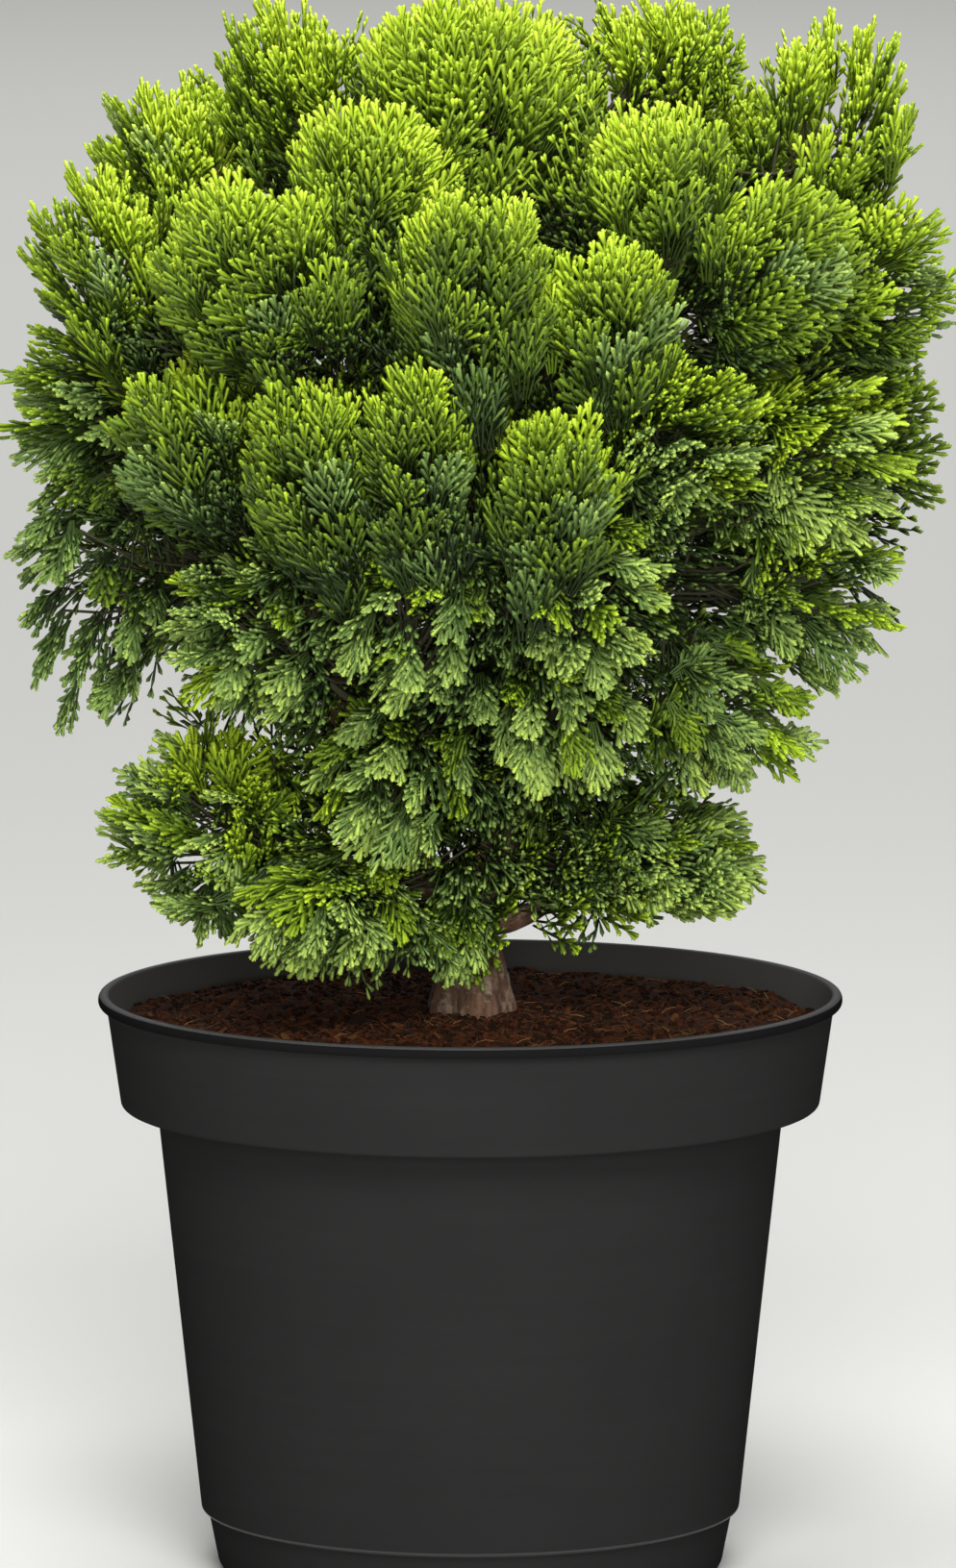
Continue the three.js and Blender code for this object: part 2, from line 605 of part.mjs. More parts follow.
for (const tuft of tufts) {
  const core = new THREE.Mesh(coreGeometry(tuft));
  let solid = toSolid(core.geometry).add(toSolid(stemGeometry(tuft)));
  for (const spray of spraysOf(tuft, core)) {
    const place = new THREE.Matrix4().makeBasis(spray.across, spray.along, spray.normal);
    place.setPosition(spray.base);
    solid = solid.add(toSolid(sprayGeometry(spray.length).applyMatrix4(place)));
  }
  const stemSpaces = tufts.filter((other) => other !== tuft).map((other) => other.stemSpace);
  for (const space of [...limbSpaces, ...stemSpaces])
    if (solid.intersect(space).volume() > 0) solid = solid.subtract(space);
  addPiece("tuft_" + tuft.name, toGeometry(solid), "foliage");
}

export default plant;
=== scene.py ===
import math
import random
from types import SimpleNamespace

import bmesh
import bpy
import numpy as np
from mathutils import Matrix, Quaternion, Vector, noise


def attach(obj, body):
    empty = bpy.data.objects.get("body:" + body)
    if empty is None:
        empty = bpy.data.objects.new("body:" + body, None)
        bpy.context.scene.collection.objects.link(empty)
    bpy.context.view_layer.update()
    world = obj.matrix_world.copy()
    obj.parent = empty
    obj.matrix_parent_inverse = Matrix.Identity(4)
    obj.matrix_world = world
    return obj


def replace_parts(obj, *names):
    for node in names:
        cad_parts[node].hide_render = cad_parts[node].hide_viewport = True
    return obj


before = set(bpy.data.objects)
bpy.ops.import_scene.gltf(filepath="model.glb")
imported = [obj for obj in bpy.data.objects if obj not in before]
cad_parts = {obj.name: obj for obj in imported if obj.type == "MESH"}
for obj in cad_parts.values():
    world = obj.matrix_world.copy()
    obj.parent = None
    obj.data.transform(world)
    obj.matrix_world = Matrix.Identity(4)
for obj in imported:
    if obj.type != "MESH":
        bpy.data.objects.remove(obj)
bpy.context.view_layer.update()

# ---------------------------------------------------------------- nursery pot
# A thermoformed pot of thin black polypropylene. Its lip is rolled outwards, the wide band under it
# stiffens the rim, and the body steps in to a stacking foot. The floor has a ring of drain holes.
MM = 0.001
POT_SEGMENTS = 160
# Each corner of the wall's section: radius, height and the radius of its rounding, in millimetres.
POT_SECTION = (
    (0, 0, 0),
    (64.2, 0, 2.2),
    (67.2, 15, 0.5),
    (68.8, 15, 0.7),
    (79.9, 119.3, 1.2),
    (89, 119.3, 1.1),
    (92.6, 144.4, 1.0),
    (94.9, 145.1, 1.3),
    (94.7, 148, 1.6),
    (92.2, 147.9, 0.8),
    (87.4, 121, 1.5),
    (78.3, 119.3, 1.0),
    (67.2, 16.2, 0.6),
    (65.6, 15, 0.6),
    (62.6, 2, 1.8),
    (0, 2, 0),
)
ROUNDING_STEPS = 5
# The lip is painted blacker than the wall, as painted shade. Its top and the ledge over the foot are
# painted grey, as painted highlights, and the inside above the mix is painted paler, as painted light.
LIP_FOOT, LIP_TOP = 145.3 * MM, 147.55 * MM
PAINTED_LIGHT_FROM = 125 * MM
LEDGE_FOOT, LEDGE_TOP, LEDGE_INSIDE = 14 * MM, 15.6 * MM, 66.8 * MM


def hex_colour(code):
    """A colour code such as "8a5c3b" as linear red, green, blue and alpha."""
    parts = [int(code[i : i + 2], 16) / 255 for i in (0, 2, 4)]
    return (*(((p + 0.055) / 1.055) ** 2.4 if p > 0.04045 else p / 12.92 for p in parts), 1)


def rounded(section):
    """The section as (radius, height) in metres, with each corner replaced by a short curve."""
    corners = [Vector((radius, height)) * MM for radius, height, _ in section]
    points = []
    for i, corner in enumerate(corners):
        size = section[i][2] * MM
        if not size:
            points.append(corner)
            continue
        start = corner + (corners[i - 1] - corner).normalized() * size
        end = corner + (corners[i + 1] - corner).normalized() * size
        for step in range(ROUNDING_STEPS + 1):
            t = step / ROUNDING_STEPS
            points.append(start * (1 - t) ** 2 + corner * 2 * t * (1 - t) + end * t**2)
    return points


def shown(name, data):
    """An object that holds the data, in the scene."""
    thing = bpy.data.objects.new(name, data)
    bpy.context.scene.collection.objects.link(thing)
    return thing


def new_object(name, bm):
    """An object whose mesh is bm, with its normals pointing out."""
    bmesh.ops.recalc_face_normals(bm, faces=bm.faces)
    mesh = bpy.data.meshes.new(name)
    bm.to_mesh(mesh)
    bm.free()
    return shown(name, mesh)


def bridge(bm, low, high):
    """The faces between two rings of corners, or between a ring and a single one."""
    count = max(len(low), len(high))
    faces = []
    for i in range(count):
        j = (i + 1) % count
        corners = (low[i % len(low)], low[j % len(low)], high[j % len(high)], high[i % len(high)])
        faces.append(bm.faces.new(dict.fromkeys(corners)))
    return faces


def turned(name, points, segments):
    """A mesh turned about Z from (radius, height) points. A point on the axis closes it."""
    bm = bmesh.new()
    rings = []
    for radius, height in points:
        turns = range(segments) if radius > 1e-6 else [0]
        angles = [2 * math.pi * turn / segments for turn in turns]
        ring = [bm.verts.new((radius * math.cos(a), radius * math.sin(a), height)) for a in angles]
        rings.append(ring)
    for low, high in zip(rings, rings[1:]):
        bridge(bm, low, high)
    return new_object(name, bm)


def smooth(thing, angle=math.radians(35)):
    """Shades an object smoothly, apart from edges sharper than the angle."""
    thing.data.shade_smooth()
    thing.data.set_sharp_from_angle(angle=angle)


def node_maker(tree):
    """A function that adds a node to the tree, with its settings and what goes into its sockets: a value,
    another node's socket, or a node for its first one. A socket that something goes into is given by its
    name, or as _0, _1 and so on by its place."""

    def add(kind, settings=(), **sockets):
        made = tree.nodes.new(kind)
        for key, value in dict(settings).items():
            setattr(made, key, value)
        for key, value in sockets.items():
            label = int(key[1:]) if key[1:].isdigit() else key.replace("_", " ")
            if isinstance(value, bpy.types.Node):
                value = value.outputs[0]
            if isinstance(value, bpy.types.NodeSocket):
                tree.links.new(value, made.inputs[label])
            else:
                made.inputs[label].default_value = value
        return made

    return add


def new_tree(name, inputs):
    """A geometry node tree with a Geometry input and output and the named inputs given, a function that
    adds nodes to it, and what its inputs bring."""
    tree = bpy.data.node_groups.new(name, "GeometryNodeTree")
    tree.interface.new_socket("Geometry", in_out="INPUT", socket_type="NodeSocketGeometry")
    tree.interface.new_socket("Geometry", in_out="OUTPUT", socket_type="NodeSocketGeometry")
    for label, kind in inputs.items():
        tree.interface.new_socket(label, in_out="INPUT", socket_type="NodeSocket" + kind)
    add = node_maker(tree)
    return tree, add, add("NodeGroupInput").outputs


def grown(thing, tree, values):
    """Runs a geometry node tree on an object and leaves its result as the object's plain mesh."""
    modifier = thing.modifiers.new(tree.name, "NODES")
    modifier.node_group = tree
    for item in tree.interface.items_tree:
        if item.in_out == "INPUT" and item.name in values:
            modifier[item.identifier] = values[item.name]
    graph = bpy.context.evaluated_depsgraph_get()
    mesh = bpy.data.meshes.new_from_object(thing.evaluated_get(graph))
    thing.modifiers.remove(modifier)
    thing.data = mesh
    mesh.name = thing.name
    return thing


def drain_tree():
    """Cuts a ring of round holes through the floor."""
    inputs = {"Count": "Int", "Ring": "Float", "Radius": "Float", "Depth": "Float", "Sides": "Int"}
    tree, add, start = new_tree("drain_holes", inputs)
    ring = add("GeometryNodeMeshCircle", Vertices=start["Count"], Radius=start["Ring"])
    sides, radius, depth = start["Sides"], start["Radius"], start["Depth"]
    drill = add("GeometryNodeMeshCylinder", Vertices=sides, Radius=radius, Depth=depth)
    holes = add("GeometryNodeInstanceOnPoints", Points=ring, Instance=drill)
    solid = add("GeometryNodeRealizeInstances", Geometry=holes)
    less = {"operation": "DIFFERENCE", "solver": "EXACT"}
    cut = add("GeometryNodeMeshBoolean", less, Mesh_1=start["Geometry"], Mesh_2=solid)
    painted = add("GeometryNodeSetMaterial", Geometry=cut, Material=pot_plastic)
    add("NodeGroupOutput", Geometry=painted)
    return tree


def new_material(name, colour, roughness, specular=0.5):
    """A material, its Principled shader and a function that adds nodes to it."""
    made = bpy.data.materials.new(name)
    made.use_nodes = True
    shader = made.node_tree.nodes["Principled BSDF"]
    shader.inputs["Base Color"].default_value = colour
    shader.inputs["Roughness"].default_value = roughness
    shader.inputs["Specular IOR Level"].default_value = specular
    return made, shader, node_maker(made.node_tree)


def feed(shader, tint, relief):
    """Gives a material's shader a mixed colour and a bump."""
    links = shader.id_data.links
    links.new(tint.outputs[2], shader.inputs["Base Color"])
    links.new(relief.outputs[0], shader.inputs["Normal"])


POT_COLOUR = hex_colour("232323")
POT_WORN = hex_colour("2b2b2b")
pot_plastic, shader, add = new_material("pot_plastic", POT_COLOUR, 0.5, 0.0)
place = add("ShaderNodeTexCoord")
flow = add("ShaderNodeMapping", Vector=place.outputs["Object"], Scale=(12, 12, 260))
marks = add("ShaderNodeTexNoise", Vector=flow, Scale=1.4, Detail=4.0, Roughness=0.6)
bloom = add("ShaderNodeTexNoise", Vector=place.outputs["Object"], Scale=26.0, Detail=5.0)
both = add("ShaderNodeMath", {"operation": "MULTIPLY"}, _0=marks, _1=bloom)
tint = add("ShaderNodeMix", {"data_type": "RGBA"}, _0=both, _6=POT_COLOUR, _7=POT_WORN)
grain = add("ShaderNodeTexNoise", Vector=place.outputs["Object"], Scale=1600.0, Detail=2.0)
relief = add("ShaderNodeBump", Strength=0.06, Distance=0.0004, Height=grain)
feed(shader, tint, relief)
# The lip is painted darker than the wall, as painted shade.
pot_lip = new_material("pot_lip", hex_colour("151515"), 0.5, 0.0)[0]
# The lip's top and the ledge over the foot are painted lighter, as painted highlights.
pot_edge = new_material("pot_edge", hex_colour("3a3a3a"), 0.45, 0.15)[0]
# The inside wall above the mix is painted paler, as painted light.
pot_inside = new_material("pot_inside", hex_colour("484643"), 0.9, 0.1)[0]

pot = turned("nursery_pot", rounded(POT_SECTION), POT_SEGMENTS)
DRAIN_HOLES = {"Count": 8, "Ring": 52 * MM, "Radius": 3 * MM, "Depth": 8 * MM, "Sides": 24}
grown(pot, drain_tree(), DRAIN_HOLES)
POT_FINISHES = (pot_plastic, pot_edge, pot_inside, pot_lip)
pot.data.materials.clear()
for finish in POT_FINISHES:
    pot.data.materials.append(finish)
for face in pot.data.polygons:
    height = face.center.z
    is_ledge = LEDGE_FOOT < height < LEDGE_TOP and math.hypot(*face.center.xy) > LEDGE_INSIDE
    finish = pot_plastic
    # The lip's top and the ledge take the painted highlight.
    if height > LIP_TOP or is_ledge:
        finish = pot_edge
    # The inside wall above the mix takes the painted light.
    elif height > PAINTED_LIGHT_FROM and face.normal.xy.dot(face.center.xy) < 0:
        finish = pot_inside
    # The lip's face takes the painted shade.
    elif height > LIP_FOOT:
        finish = pot_lip
    face.material_index = POT_FINISHES.index(finish)
smooth(pot)
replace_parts(pot, "pot")
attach(pot, "root")

# ---------------------------------------------------------------- potting mix
# Composted bark and coir, filled to just under the rim and a little crowned. Its surface is loose
# crumbs, bark chips and coir fibres, scattered on a lumpy bed.
SOIL_EDGE = 140.5 * MM
SOIL_CROWN = 144 * MM
SOIL_RADIUS = 89.6 * MM
SOIL_SIDE = ((86.6, 121.8), (77.6, 120), (64.8, 15.6), (61.8, 2.6))  # down inside the pot's wall
SOIL_RINGS = 60
SOIL_TURNS = 150
BED_DEPTH = 0.5 * MM  # the bed lies so far under the crumbs
LUMP = 1.5 * MM
LUMPS_PER_METRE = 60
LUMP_FRACTAL = (0.9, 2.1, 4)  # how fast finer lumps fade, how much finer each size is, and how many
STANDING_PATCH = 12 * MM  # kept even round the trunk's foot


def soil_height(x, y):
    """The height of the lumpy bed, a low dome, at a place."""
    out = math.hypot(x, y)
    dome = SOIL_EDGE + (SOIL_CROWN - SOIL_EDGE) * (1 - (out / SOIL_RADIUS) ** 2)
    lumps = noise.fractal(Vector((x, y, 0)) * LUMPS_PER_METRE, *LUMP_FRACTAL) * LUMP
    return dome + lumps * min(1, out / STANDING_PATCH) - BED_DEPTH


bed = bmesh.new()
rings = []
for ring in range(1, SOIL_RINGS + 1):
    radius = SOIL_RADIUS * ring / SOIL_RINGS
    angles = [2 * math.pi * turn / SOIL_TURNS for turn in range(SOIL_TURNS)]
    spots = [(radius * math.cos(a), radius * math.sin(a)) for a in angles]
    rings.append([bed.verts.new((x, y, soil_height(x, y))) for x, y in spots])
for radius, height in SOIL_SIDE:
    ratio = radius * MM / SOIL_RADIUS
    spots = [(v.co.x * ratio, v.co.y * ratio) for v in rings[SOIL_RINGS - 1]]
    rings.append([bed.verts.new((x, y, height * MM)) for x, y in spots])
for inner, outer in zip(rings, rings[1:]):
    bridge(bed, inner, outer)
for ring, height in ((rings[0], soil_height(0, 0)), (rings[-1], SOIL_SIDE[-1][1] * MM)):
    bridge(bed, ring, [bed.verts.new((0, 0, height))])
soil = new_object("potting_mix", bed)
smooth(soil, math.radians(60))

SOIL_DARK = hex_colour("160b07")
SOIL_BROWN = hex_colour("3f2414")
DUSTY_GLOSS = 0.08
potting_mix, shader, add = new_material("potting_mix", SOIL_DARK, 0.95, DUSTY_GLOSS)
place = add("ShaderNodeTexCoord")
clods = add("ShaderNodeTexNoise", Vector=place.outputs["Object"], Scale=170.0, Detail=6.0, Roughness=0.7)
spread = add("ShaderNodeMapRange", Value=clods, From_Min=0.35, From_Max=0.68)
tint = add("ShaderNodeMix", {"data_type": "RGBA"}, _0=spread, _6=SOIL_DARK, _7=SOIL_BROWN)
relief = add("ShaderNodeBump", Strength=0.8, Distance=0.002, Height=clods)
feed(shader, tint, relief)
soil.data.materials.append(potting_mix)
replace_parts(soil, "soil")
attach(soil, "root")


def loose_bit(name, rings_of):
    """A small closed form along Y from rings of (y, half width, half thickness, lift)."""
    bm = bmesh.new()
    loops = []
    for y, wide, thick, lift in rings_of:
        corners = ((-wide, 0), (0, -thick), (wide, 0), (0, thick))
        loops.append([bm.verts.new((x, y, z + lift)) for x, z in corners])
    for low, high in zip(loops, loops[1:]):
        bridge(bm, low, high)
    bm.faces.new(loops[0])
    bm.faces.new(loops[-1])
    thing = new_object(name, bm)
    bpy.context.scene.collection.objects.unlink(thing)
    return thing


CRUMB = ((-1.0, 0.35, 0.3, 0), (-0.35, 0.95, 0.7, 0.1), (0.5, 0.8, 0.85, 0), (1.0, 0.3, 0.3, 0))
CHIP = ((-1.6, 0.5, 0.12, 0.1), (0, 0.8, 0.2, 0), (1.5, 0.45, 0.14, 0.2))
FIBRE = ((-4, 0.07, 0.07, 0), (-1.5, 0.1, 0.1, 0.8), (1.2, 0.1, 0.1, 1.0), (3.6, 0.06, 0.06, 0.2))
crumb, chip, fibre = loose_bit("crumb", CRUMB), loose_bit("chip", CHIP), loose_bit("fibre", FIBRE)


LEVEL_ENOUGH = 0.5  # how far up a face looks where loose bits lie on it
ANY_WAY = 6.3  # a little over a whole turn


def scatter_tree(name):
    """Scatters one loose bit over the upward faces of a bed, turned any way and tilted at random."""
    inputs = {"Bit": "Object", "Density": "Float", "Smallest": "Float", "Largest": "Float"}
    inputs.update({"Tilt": "Float", "Edge": "Float", "Seed": "Int", "Material": "Material"})
    tree, add, start = new_tree(name, inputs)
    seed = start["Seed"]
    normal = add("GeometryNodeInputNormal")
    upward = add("ShaderNodeSeparateXYZ", Vector=normal)
    is_level = add("FunctionNodeCompare", _0=upward.outputs[2], _1=LEVEL_ENOUGH)
    spot = add("GeometryNodeInputPosition")
    sweep = add("ShaderNodeVectorMath", {"operation": "MULTIPLY"}, _0=spot, _1=(1, 1, 0))
    out = add("ShaderNodeVectorMath", {"operation": "LENGTH"}, _0=sweep)
    room = {"operation": "LESS_THAN"}
    is_inside = add("FunctionNodeCompare", room, _0=out.outputs["Value"], _1=start["Edge"])
    is_top = add("FunctionNodeBooleanMath", _0=is_level, _1=is_inside)
    points = add("GeometryNodeDistributePointsOnFaces", Mesh=start["Geometry"], Density=start["Density"],
                 Selection=is_top, Seed=seed)
    ways = {"data_type": "FLOAT_VECTOR"}
    turn = add("FunctionNodeRandomValue", ways, _0=(-1, -1, 0), _1=(1, 1, ANY_WAY), Seed=seed)
    tilt = add("ShaderNodeCombineXYZ", X=start["Tilt"], Y=start["Tilt"], Z=1.0)
    lean = add("ShaderNodeVectorMath", {"operation": "MULTIPLY"}, _0=turn, _1=tilt)
    size = add("FunctionNodeRandomValue", _2=start["Smallest"], _3=start["Largest"], Seed=seed)
    bit = add("GeometryNodeObjectInfo", Object=start["Bit"])
    laid = add("GeometryNodeInstanceOnPoints", Points=points, Instance=bit.outputs["Geometry"],
               Rotation=lean, Scale=size.outputs[1])
    solid = add("GeometryNodeRealizeInstances", Geometry=laid)
    painted = add("GeometryNodeSetMaterial", Geometry=solid, Material=start["Material"])
    add("NodeGroupOutput", Geometry=painted)
    return tree


scatter = scatter_tree("loose_mix")
# name, bit, how many to a square metre, smallest and largest size, tilt, colour
LOOSE_MIX = (
    ("dark_crumbs", crumb, 70000, 0.4 * MM, 1.3 * MM, 1.0, "1c0e06"),
    ("brown_crumbs", crumb, 80000, 0.4 * MM, 1.1 * MM, 1.0, "3a1c0c"),
    ("bark_chips", chip, 14000, 0.6 * MM, 1.4 * MM, 0.8, "4a2d18"),
    ("coir_fibres", fibre, 80000, 0.3 * MM, 0.8 * MM, 0.9, "573a24"),
    ("pale_fibres", fibre, 6000, 0.3 * MM, 0.9 * MM, 0.8, "8a673f"),
)
for seed, (name, bit, density, smallest, largest, tilt, code) in enumerate(LOOSE_MIX):
    dressing = shown(name, soil.data.copy())
    finish = new_material(name, hex_colour(code), 0.9, DUSTY_GLOSS)[0]
    longest = max(v.co.length for v in bit.data.vertices)
    edge = SOIL_RADIUS - largest * longest
    values = {"Bit": bit, "Density": density, "Smallest": smallest, "Largest": largest}
    values.update({"Tilt": tilt, "Edge": edge, "Seed": seed, "Material": finish})
    grown(dressing, scatter, values)
    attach(dressing, "root")

# ---------------------------------------------------------------- growth of the crown
# The crown is seven tiers of tufts round its axis. Each tuft is a scallop of flat sprays that fan out
# from behind its middle and end on its rounded outline, and each keeps to its own side of its
# neighbours. The boughs end under their tufts, so the tufts' places come before the wood.
#
# A tier opens with what its tufts share. A row holds a tuft's name, its azimuth (0 is the front, 90 the
# right), the limb that carries it, and what differs from its tier. USUAL holds what both leave out.
# Lengths are in millimetres and angles in degrees.
#   ring, height  how far from the axis and how high its middle stands
#   spread, rise  how far its outline lies from its middle, level and up
#   wide, drop    how many spreads it lies out round the crown, and how many rises down
#   reach         how far its sprays come, as a share of that outline
#   lift          how steeply the tuft grows out of the crown
#   front, side   how steeply its sprays rise at the front and back of the crown, and at its sides
#   opening       the angle between the way it faces and its last sprays
#   source        how many rises behind its middle its sprays seem to start
#   flat          how far level sprays turn their flat side up
#   filled        how much fuller it is inside, and how much lighter its inside is painted, as painted light
#   loose         how far its sprays straggle
#   light         its shade, as a step of green: partly its own tone, partly painted light and shade set tier by tier
#   mature        how much of it is mature
#   start         the height on the trunk where its stem leaves, if not at the limb's tip
TIERS = (
    (dict(ring=50, height=383, spread=24, rise=21, lift=78, front=80, side=72, light=4.1, mature=0,
          reach=0.97), (
        ("top_left", -84, "trunk", dict(spread=18, rise=22)),
        ("top_front", 0, "trunk", dict(ring=15, height=380, spread=29, rise=26, wide=1.15, reach=1.0)),
        ("top_right", 110, "trunk", dict(ring=53, height=385, rise=19, reach=0.93)),
        ("top_back", 180, "trunk", dict(ring=56, height=376, spread=27)),
    )),
    (dict(ring=79, height=362, spread=22, rise=20, lift=66, front=78, side=62, light=3.6, mature=0.05,
          reach=0.98), (
        ("shoulder_left", -94, "left", dict(reach=1.0, light=4.3)),
        ("shoulder_front_left", -24, "upper_front", dict(ring=63)),
        ("shoulder_front_right", 38, "upper_right", dict(ring=76)),
        ("shoulder_right", 90, "right",
         dict(ring=97, height=371, spread=18, rise=24, light=4.1, reach=1.16)),
    )),
    (dict(ring=93, height=338, spread=21, rise=22, lift=56, front=75, side=42, light=2.9, mature=0.15,
          reach=1.0), (
        ("upper_left", -75, "left", dict(ring=96, reach=1.06, light=3.7, drop=1.3)),
        ("upper_front_left", -36, "upper_front", dict(spread=28, rise=26, light=3.3)),
        ("upper_front", 0, "upper_front", dict(rise=25, light=2.8)),
        ("upper_front_right", 22, "upper_right", dict(ring=95, height=328, spread=19)),
        ("upper_right", 56, "upper_right", dict(spread=24, rise=24, side=24, light=3.3)),
        ("upper_far_right", 93, "right",
         dict(ring=105, height=330, spread=18, side=20, light=3.5, reach=1.17)),
        ("upper_back_right", 134, "upper_back",
         dict(ring=88, height=350, spread=28, rise=26, wide=1.4)),
        ("upper_back", 180, "upper_back", dict(height=342, spread=27, rise=26, wide=1.4)),
        ("upper_back_left", -132, "upper_back",
         dict(ring=88, height=350, spread=28, rise=26, wide=1.4)),
    )),
    (dict(ring=100, height=295, spread=19, rise=21, lift=42, front=64, side=10, light=2.9, mature=0.35,
          reach=1.02), (
        ("middle_left", -81, "left", dict(height=298, spread=20, reach=1.18, light=3.3)),
        ("middle_front_left", -48, "middle_left", dict(ring=97, spread=20)),
        ("middle_fan_left", -25, "middle_left", dict(ring=102, height=292, spread=16, rise=24)),
        ("middle_fan_front", -7, "middle_front", dict(ring=104, height=298, spread=15, rise=24)),
        ("middle_front_right", 12, "middle_front", dict(ring=103, height=289, spread=17)),
        ("middle_right", 34, "middle_right",
         dict(ring=98, height=298, spread=22, front=34, side=0, light=3.8, mature=0.5)),
        ("middle_far_right", 69, "middle_right",
         dict(ring=96, height=288, spread=24, rise=23, side=-4, light=4.4, drop=1.3, reach=0.97,
              mature=0.5)),
        ("middle_back_right", 114, "middle_back",
         dict(ring=96, height=294, spread=28, rise=27, wide=1.7, drop=1.3, reach=1.07)),
        ("middle_back", 172, "middle_back",
         dict(ring=100, height=291, spread=28, rise=26, wide=1.6, drop=1.2, reach=1.07)),
        ("middle_back_left", -124, "middle_back",
         dict(ring=98, height=296, spread=28, rise=27, wide=1.7, drop=1.3)),
    )),
    (dict(ring=87, height=254, spread=22, rise=20, lift=20, front=-20, side=-12, light=3.6, mature=0.6,
          reach=1.02, drop=1.2, loose=1.8), (
        ("low_left", -79, "middle_left",
         dict(ring=94, height=257, spread=24, rise=24, side=-34, light=2.9, reach=1.06, drop=1.75)),
        ("low_front_left", -41, "low_front", dict(ring=86, height=250)),
        ("low_front", -11, "low_front", dict(rise=21, spread=21)),
        ("low_front_right", 20, "low_right", dict(ring=90, height=260, spread=21)),
        ("low_right", 74, "middle_right", dict(ring=88, height=254, spread=24, light=3.9, reach=1.11)),
        ("low_back_right", 137, "low_back", dict(ring=82, height=248, spread=30, rise=24, wide=1.6)),
        ("low_back_left", -138, "low_back", dict(ring=82, height=250, spread=30, rise=24, wide=1.6)),
    )),
    (dict(ring=60, height=220, spread=22, rise=18, lift=2, front=-35, side=-24, light=3.7, mature=0.6,
          loose=1.8, reach=0.98, drop=1.2), (
        ("lower_front_left", -23, "low_front", dict(ring=55, height=209, rise=21)),
        ("lower_front_right", 22, "low_right", dict(ring=65, height=225)),
        ("lower_right", 64, "low_right", dict(ring=71, height=224, spread=26, rise=22, drop=1)),
        ("lower_back", 178, "low_back", dict(ring=50, height=212, spread=30, rise=22, wide=1.4)),
    )),
    (dict(ring=52, height=184, spread=24, rise=15, lift=-8, front=-40, side=-20, light=4.0, mature=0.6,
          loose=1.5, reach=1.02, filled=0.6), (
        ("bottom_left", -78, "bottom_left",
         dict(ring=68, height=193, spread=27, rise=24, lift=12, side=8, source=1.3, opening=150,
              drop=1.2, reach=1.07)),
        ("bottom_front_left", -44, "bottom_left",
         dict(ring=54, height=173, spread=26, rise=17, opening=140)),
        ("bottom_right", 80, "bottom_right",
         dict(ring=52, height=181, spread=28, rise=22, opening=165, reach=0.91, filled=1.6, flat=0.1,
              drop=0.75, light=3.7, mature=0.8)),
        ("bottom_sprig", -8, "trunk",
         dict(ring=24, height=163, spread=12, rise=12, start=160, light=3.4, reach=0.95, drop=1.1)),
    )),
)
USUAL = dict(start=None, source=2.0, opening=118, wide=1, drop=1, filled=0, flat=0.6, loose=1)
CROWN_MIDDLE = Vector((0, 2, 290)) * MM
AXIS_DEPTH = 2 * MM
CORE_SET_BACK = 0.55  # how many spreads behind a tuft's middle its stem ends
FRONT_FOCUS = 4  # the power with which a tier's front angle fades towards its side angle
SIDEWAYS = math.radians(20)  # how far the sprays between front and side swing round to the side
SLOPE_STRAY, HEADING_STRAY = 7, 10
UP = Vector((0, 0, 1))

wander = random.Random(11)
tufts = []
for shared, members in TIERS:
    for name, azimuth, limb, own in members:
        tuft = SimpleNamespace(**{**USUAL, **shared, **own}, name=name, limb=limb)
        tuft.spread, tuft.rise = tuft.spread * MM, tuft.rise * MM
        tuft.drop *= tuft.rise
        tuft.opening = math.radians(tuft.opening)
        turn, climb = math.radians(azimuth), math.radians(tuft.lift)
        tuft.outward = Vector((math.sin(turn), -math.cos(turn), 0))
        tuft.middle = tuft.outward * tuft.ring * MM + Vector((0, AXIS_DEPTH, tuft.height * MM))
        tuft.radial = (tuft.middle - CROWN_MIDDLE).normalized()
        growth = tuft.outward * math.cos(climb) + UP * math.sin(climb)
        tuft.pole = (tuft.outward + growth).normalized()
        tuft.core = tuft.middle - tuft.pole * CORE_SET_BACK * tuft.spread
        frontal = math.cos(turn) ** FRONT_FOCUS
        steep = tuft.front * frontal + tuft.side * (1 - frontal)
        tuft.slope = math.radians(steep + wander.gauss(0, SLOPE_STRAY))
        stray = math.radians(wander.gauss(0, HEADING_STRAY))
        heading = turn + SIDEWAYS * math.sin(2 * turn) + stray
        level = Vector((math.sin(heading), -math.cos(heading), 0))
        tuft.flow = level * math.cos(tuft.slope) + UP * math.sin(tuft.slope)
        tufts.append(tuft)

# ---------------------------------------------------------------- trunk and boughs
# The trunk leans to the right above a low kink and runs on up through the crown. Its bark is thin,
# red-brown and fibrous, and peels in long flakes. The left limb leaves it low, and boughs leave both.
KNUCKLE_RADIUS = 3.3 * MM
TRUNK_FOOT = 141 * MM  # its flat cut, a little under the loose mix
KNUCKLE_LENGTH = 2.2  # in knuckle radii
KNUCKLE_CAP = 0.8
TRUNK_TAPER = 0.75
FLARE_END = 0.14  # the share of the trunk that flares to its roots
FLARE = 0.6
FLARE_MEAN = 0.75
FLARE_LOBES = ((5, 0.25, 0.6), (2, 0.3, 2.2))  # how many round the trunk, how strong, and where
BARK_WRAP = 6  # the width of the bark's pattern round a limb, in its radii
# Ridges and flakes to a millimetre round a limb and along it, as fractal noise.
RIDGES_ROUND, RIDGES_ALONG, RIDGE_FRACTAL = 0.22, 0.055, (1.0, 2.0, 3)
FLAKES_TO_RIDGES, FLAKES_ALONG, FLAKE_FRACTAL = 2.7, 0.21, (0.8, 2.2, 3)
RIDGES_PROUD, FLAKES_PROUD, BARK_SUNK = 0.9, 0.7, 0.1  # as shares of the limb's relief
CURVE_STEPS = 40
BOUGH_SAG = 0.08


